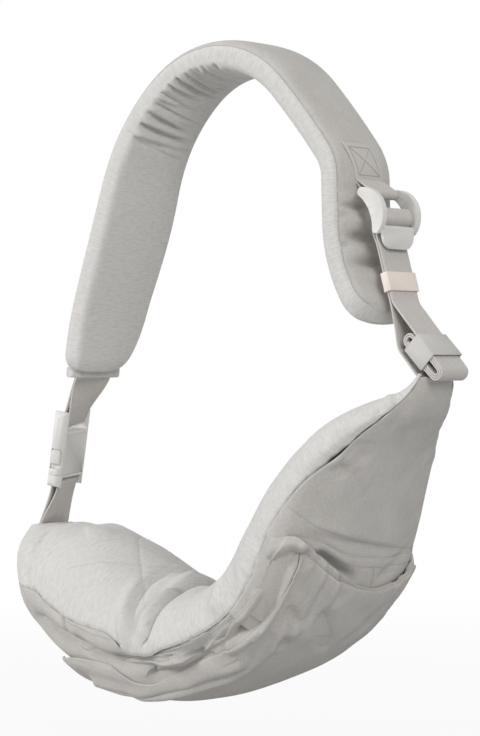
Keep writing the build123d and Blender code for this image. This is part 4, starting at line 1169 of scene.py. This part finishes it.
class SlingStage(bpy.types.Operator):
    """Make the pale floor, the soft lights and the camera"""

    bl_idname = "sling.stage"
    bl_label = "Stage"

    def execute(self, context):
        scene = context.scene
        bpy.ops.object.select_all(action="DESELECT")
        bpy.ops.mesh.primitive_plane_add(size=30, location=(0, 0, FRAME_BOX[0].z - 0.05))
        floor = context.object
        floor.name = "floor"
        material = bpy.data.materials.new("Pale floor")
        tree = empty_tree(material)
        paint = put(tree, "BsdfDiffuse", ("Color", (0.62, 0.62, 0.62, 1)))
        glow = put(tree, "Emission", ("Strength", 1.0))
        away = put(tree, "VectorMath", (0, put(tree, "TexCoord").outputs["Object"]), operation="LENGTH")
        spread = put(
            tree, "MapRange", ("Value", away.outputs["Value"]), ("From Min", 0.5), ("From Max", 1.6),
            ("To Min", 0.92), ("To Max", 1.0), interpolation_type="SMOOTHSTEP")
        put(tree, "OutputMaterial", ("Surface", two_faced(tree, paint, glow, spread.outputs["Result"])))
        floor.data.materials.append(material)
        scene.world = bpy.data.worlds.new("Studio")
        tree = empty_tree(scene.world)
        dim, white = (put(tree, "Background", ("Color", (1, 1, 1, 1)), ("Strength", power)) for power in (0.34, 1.0))
        put(tree, "OutputWorld", ("Surface", two_faced(tree, dim, white)))
        for name, place, size, power in LIGHTS:
            lamp = bpy.data.lights.new(name, "AREA")
            lamp.energy, lamp.shape, lamp.size = power, "DISK", size
            light = bpy.data.objects.new(name, lamp)
            scene.collection.objects.link(light)
            light.location = CENTRE + np.array(place)
            light.rotation_euler = (-light.location + type(light.location)(CENTRE)).to_track_quat("-Z", "Y").to_euler()
        lens = bpy.data.cameras.new("camera")
        lens.sensor_fit, lens.sensor_height, lens.sensor_width, lens.lens = "AUTO", 36, 36, 105.7
        lens.clip_start, lens.clip_end = 0.1, 100
        camera = bpy.data.objects.new("camera", lens)
        scene.collection.objects.link(camera)
        camera.location = CENTRE + CAMERA_DISTANCE * np.array((sin(CAMERA_AZIMUTH), -cos(CAMERA_AZIMUTH), 0))
        camera.rotation_euler = (pi / 2, 0, CAMERA_AZIMUTH)
        scene.camera = camera
        scene.view_settings.view_transform = "Standard"
        return {"FINISHED"}


class SlingPanel(bpy.types.Panel):
    """Sizes, colours and pieces of the sling"""

    bl_idname = "VIEW3D_PT_sling"
    bl_label = "Padded sling"
    bl_space_type = "VIEW_3D"
    bl_region_type = "UI"
    bl_category = "Sling"

    def draw(self, context):
        for settings in (context.scene.sling_sizes, context.scene.sling_colours):
            for label in settings.bl_rna.properties.keys():
                if label not in ("rna_type", "name"):
                    self.layout.prop(settings, label)
        for maker in MAKERS:
            self.layout.operator(maker.bl_idname)


MAKERS = (SlingFinishes, SlingPad, SlingPouch, SlingStraps, SlingHardware, SlingStage)
CLASSES = (SlingSizes, SlingColours, *MAKERS, SlingPanel)


def register():
    """Adds the sling's operators, settings and panel to Blender."""
    for kind in CLASSES:
        bpy.utils.register_class(kind)
    bpy.types.Scene.sling_sizes = bpy.props.PointerProperty(type=SlingSizes)
    bpy.types.Scene.sling_colours = bpy.props.PointerProperty(type=SlingColours)


def unregister():
    """Takes them away again."""
    del bpy.types.Scene.sling_colours
    del bpy.types.Scene.sling_sizes
    for kind in reversed(CLASSES):
        bpy.utils.unregister_class(kind)


def main():
    """Builds every piece in order."""
    register()
    bpy.ops.sling.finishes()
    bpy.ops.sling.pad()
    bpy.ops.sling.pouch()
    bpy.ops.sling.straps()
    bpy.ops.sling.hardware()
    bpy.ops.sling.stage()


if __name__ == "__main__":
    main()
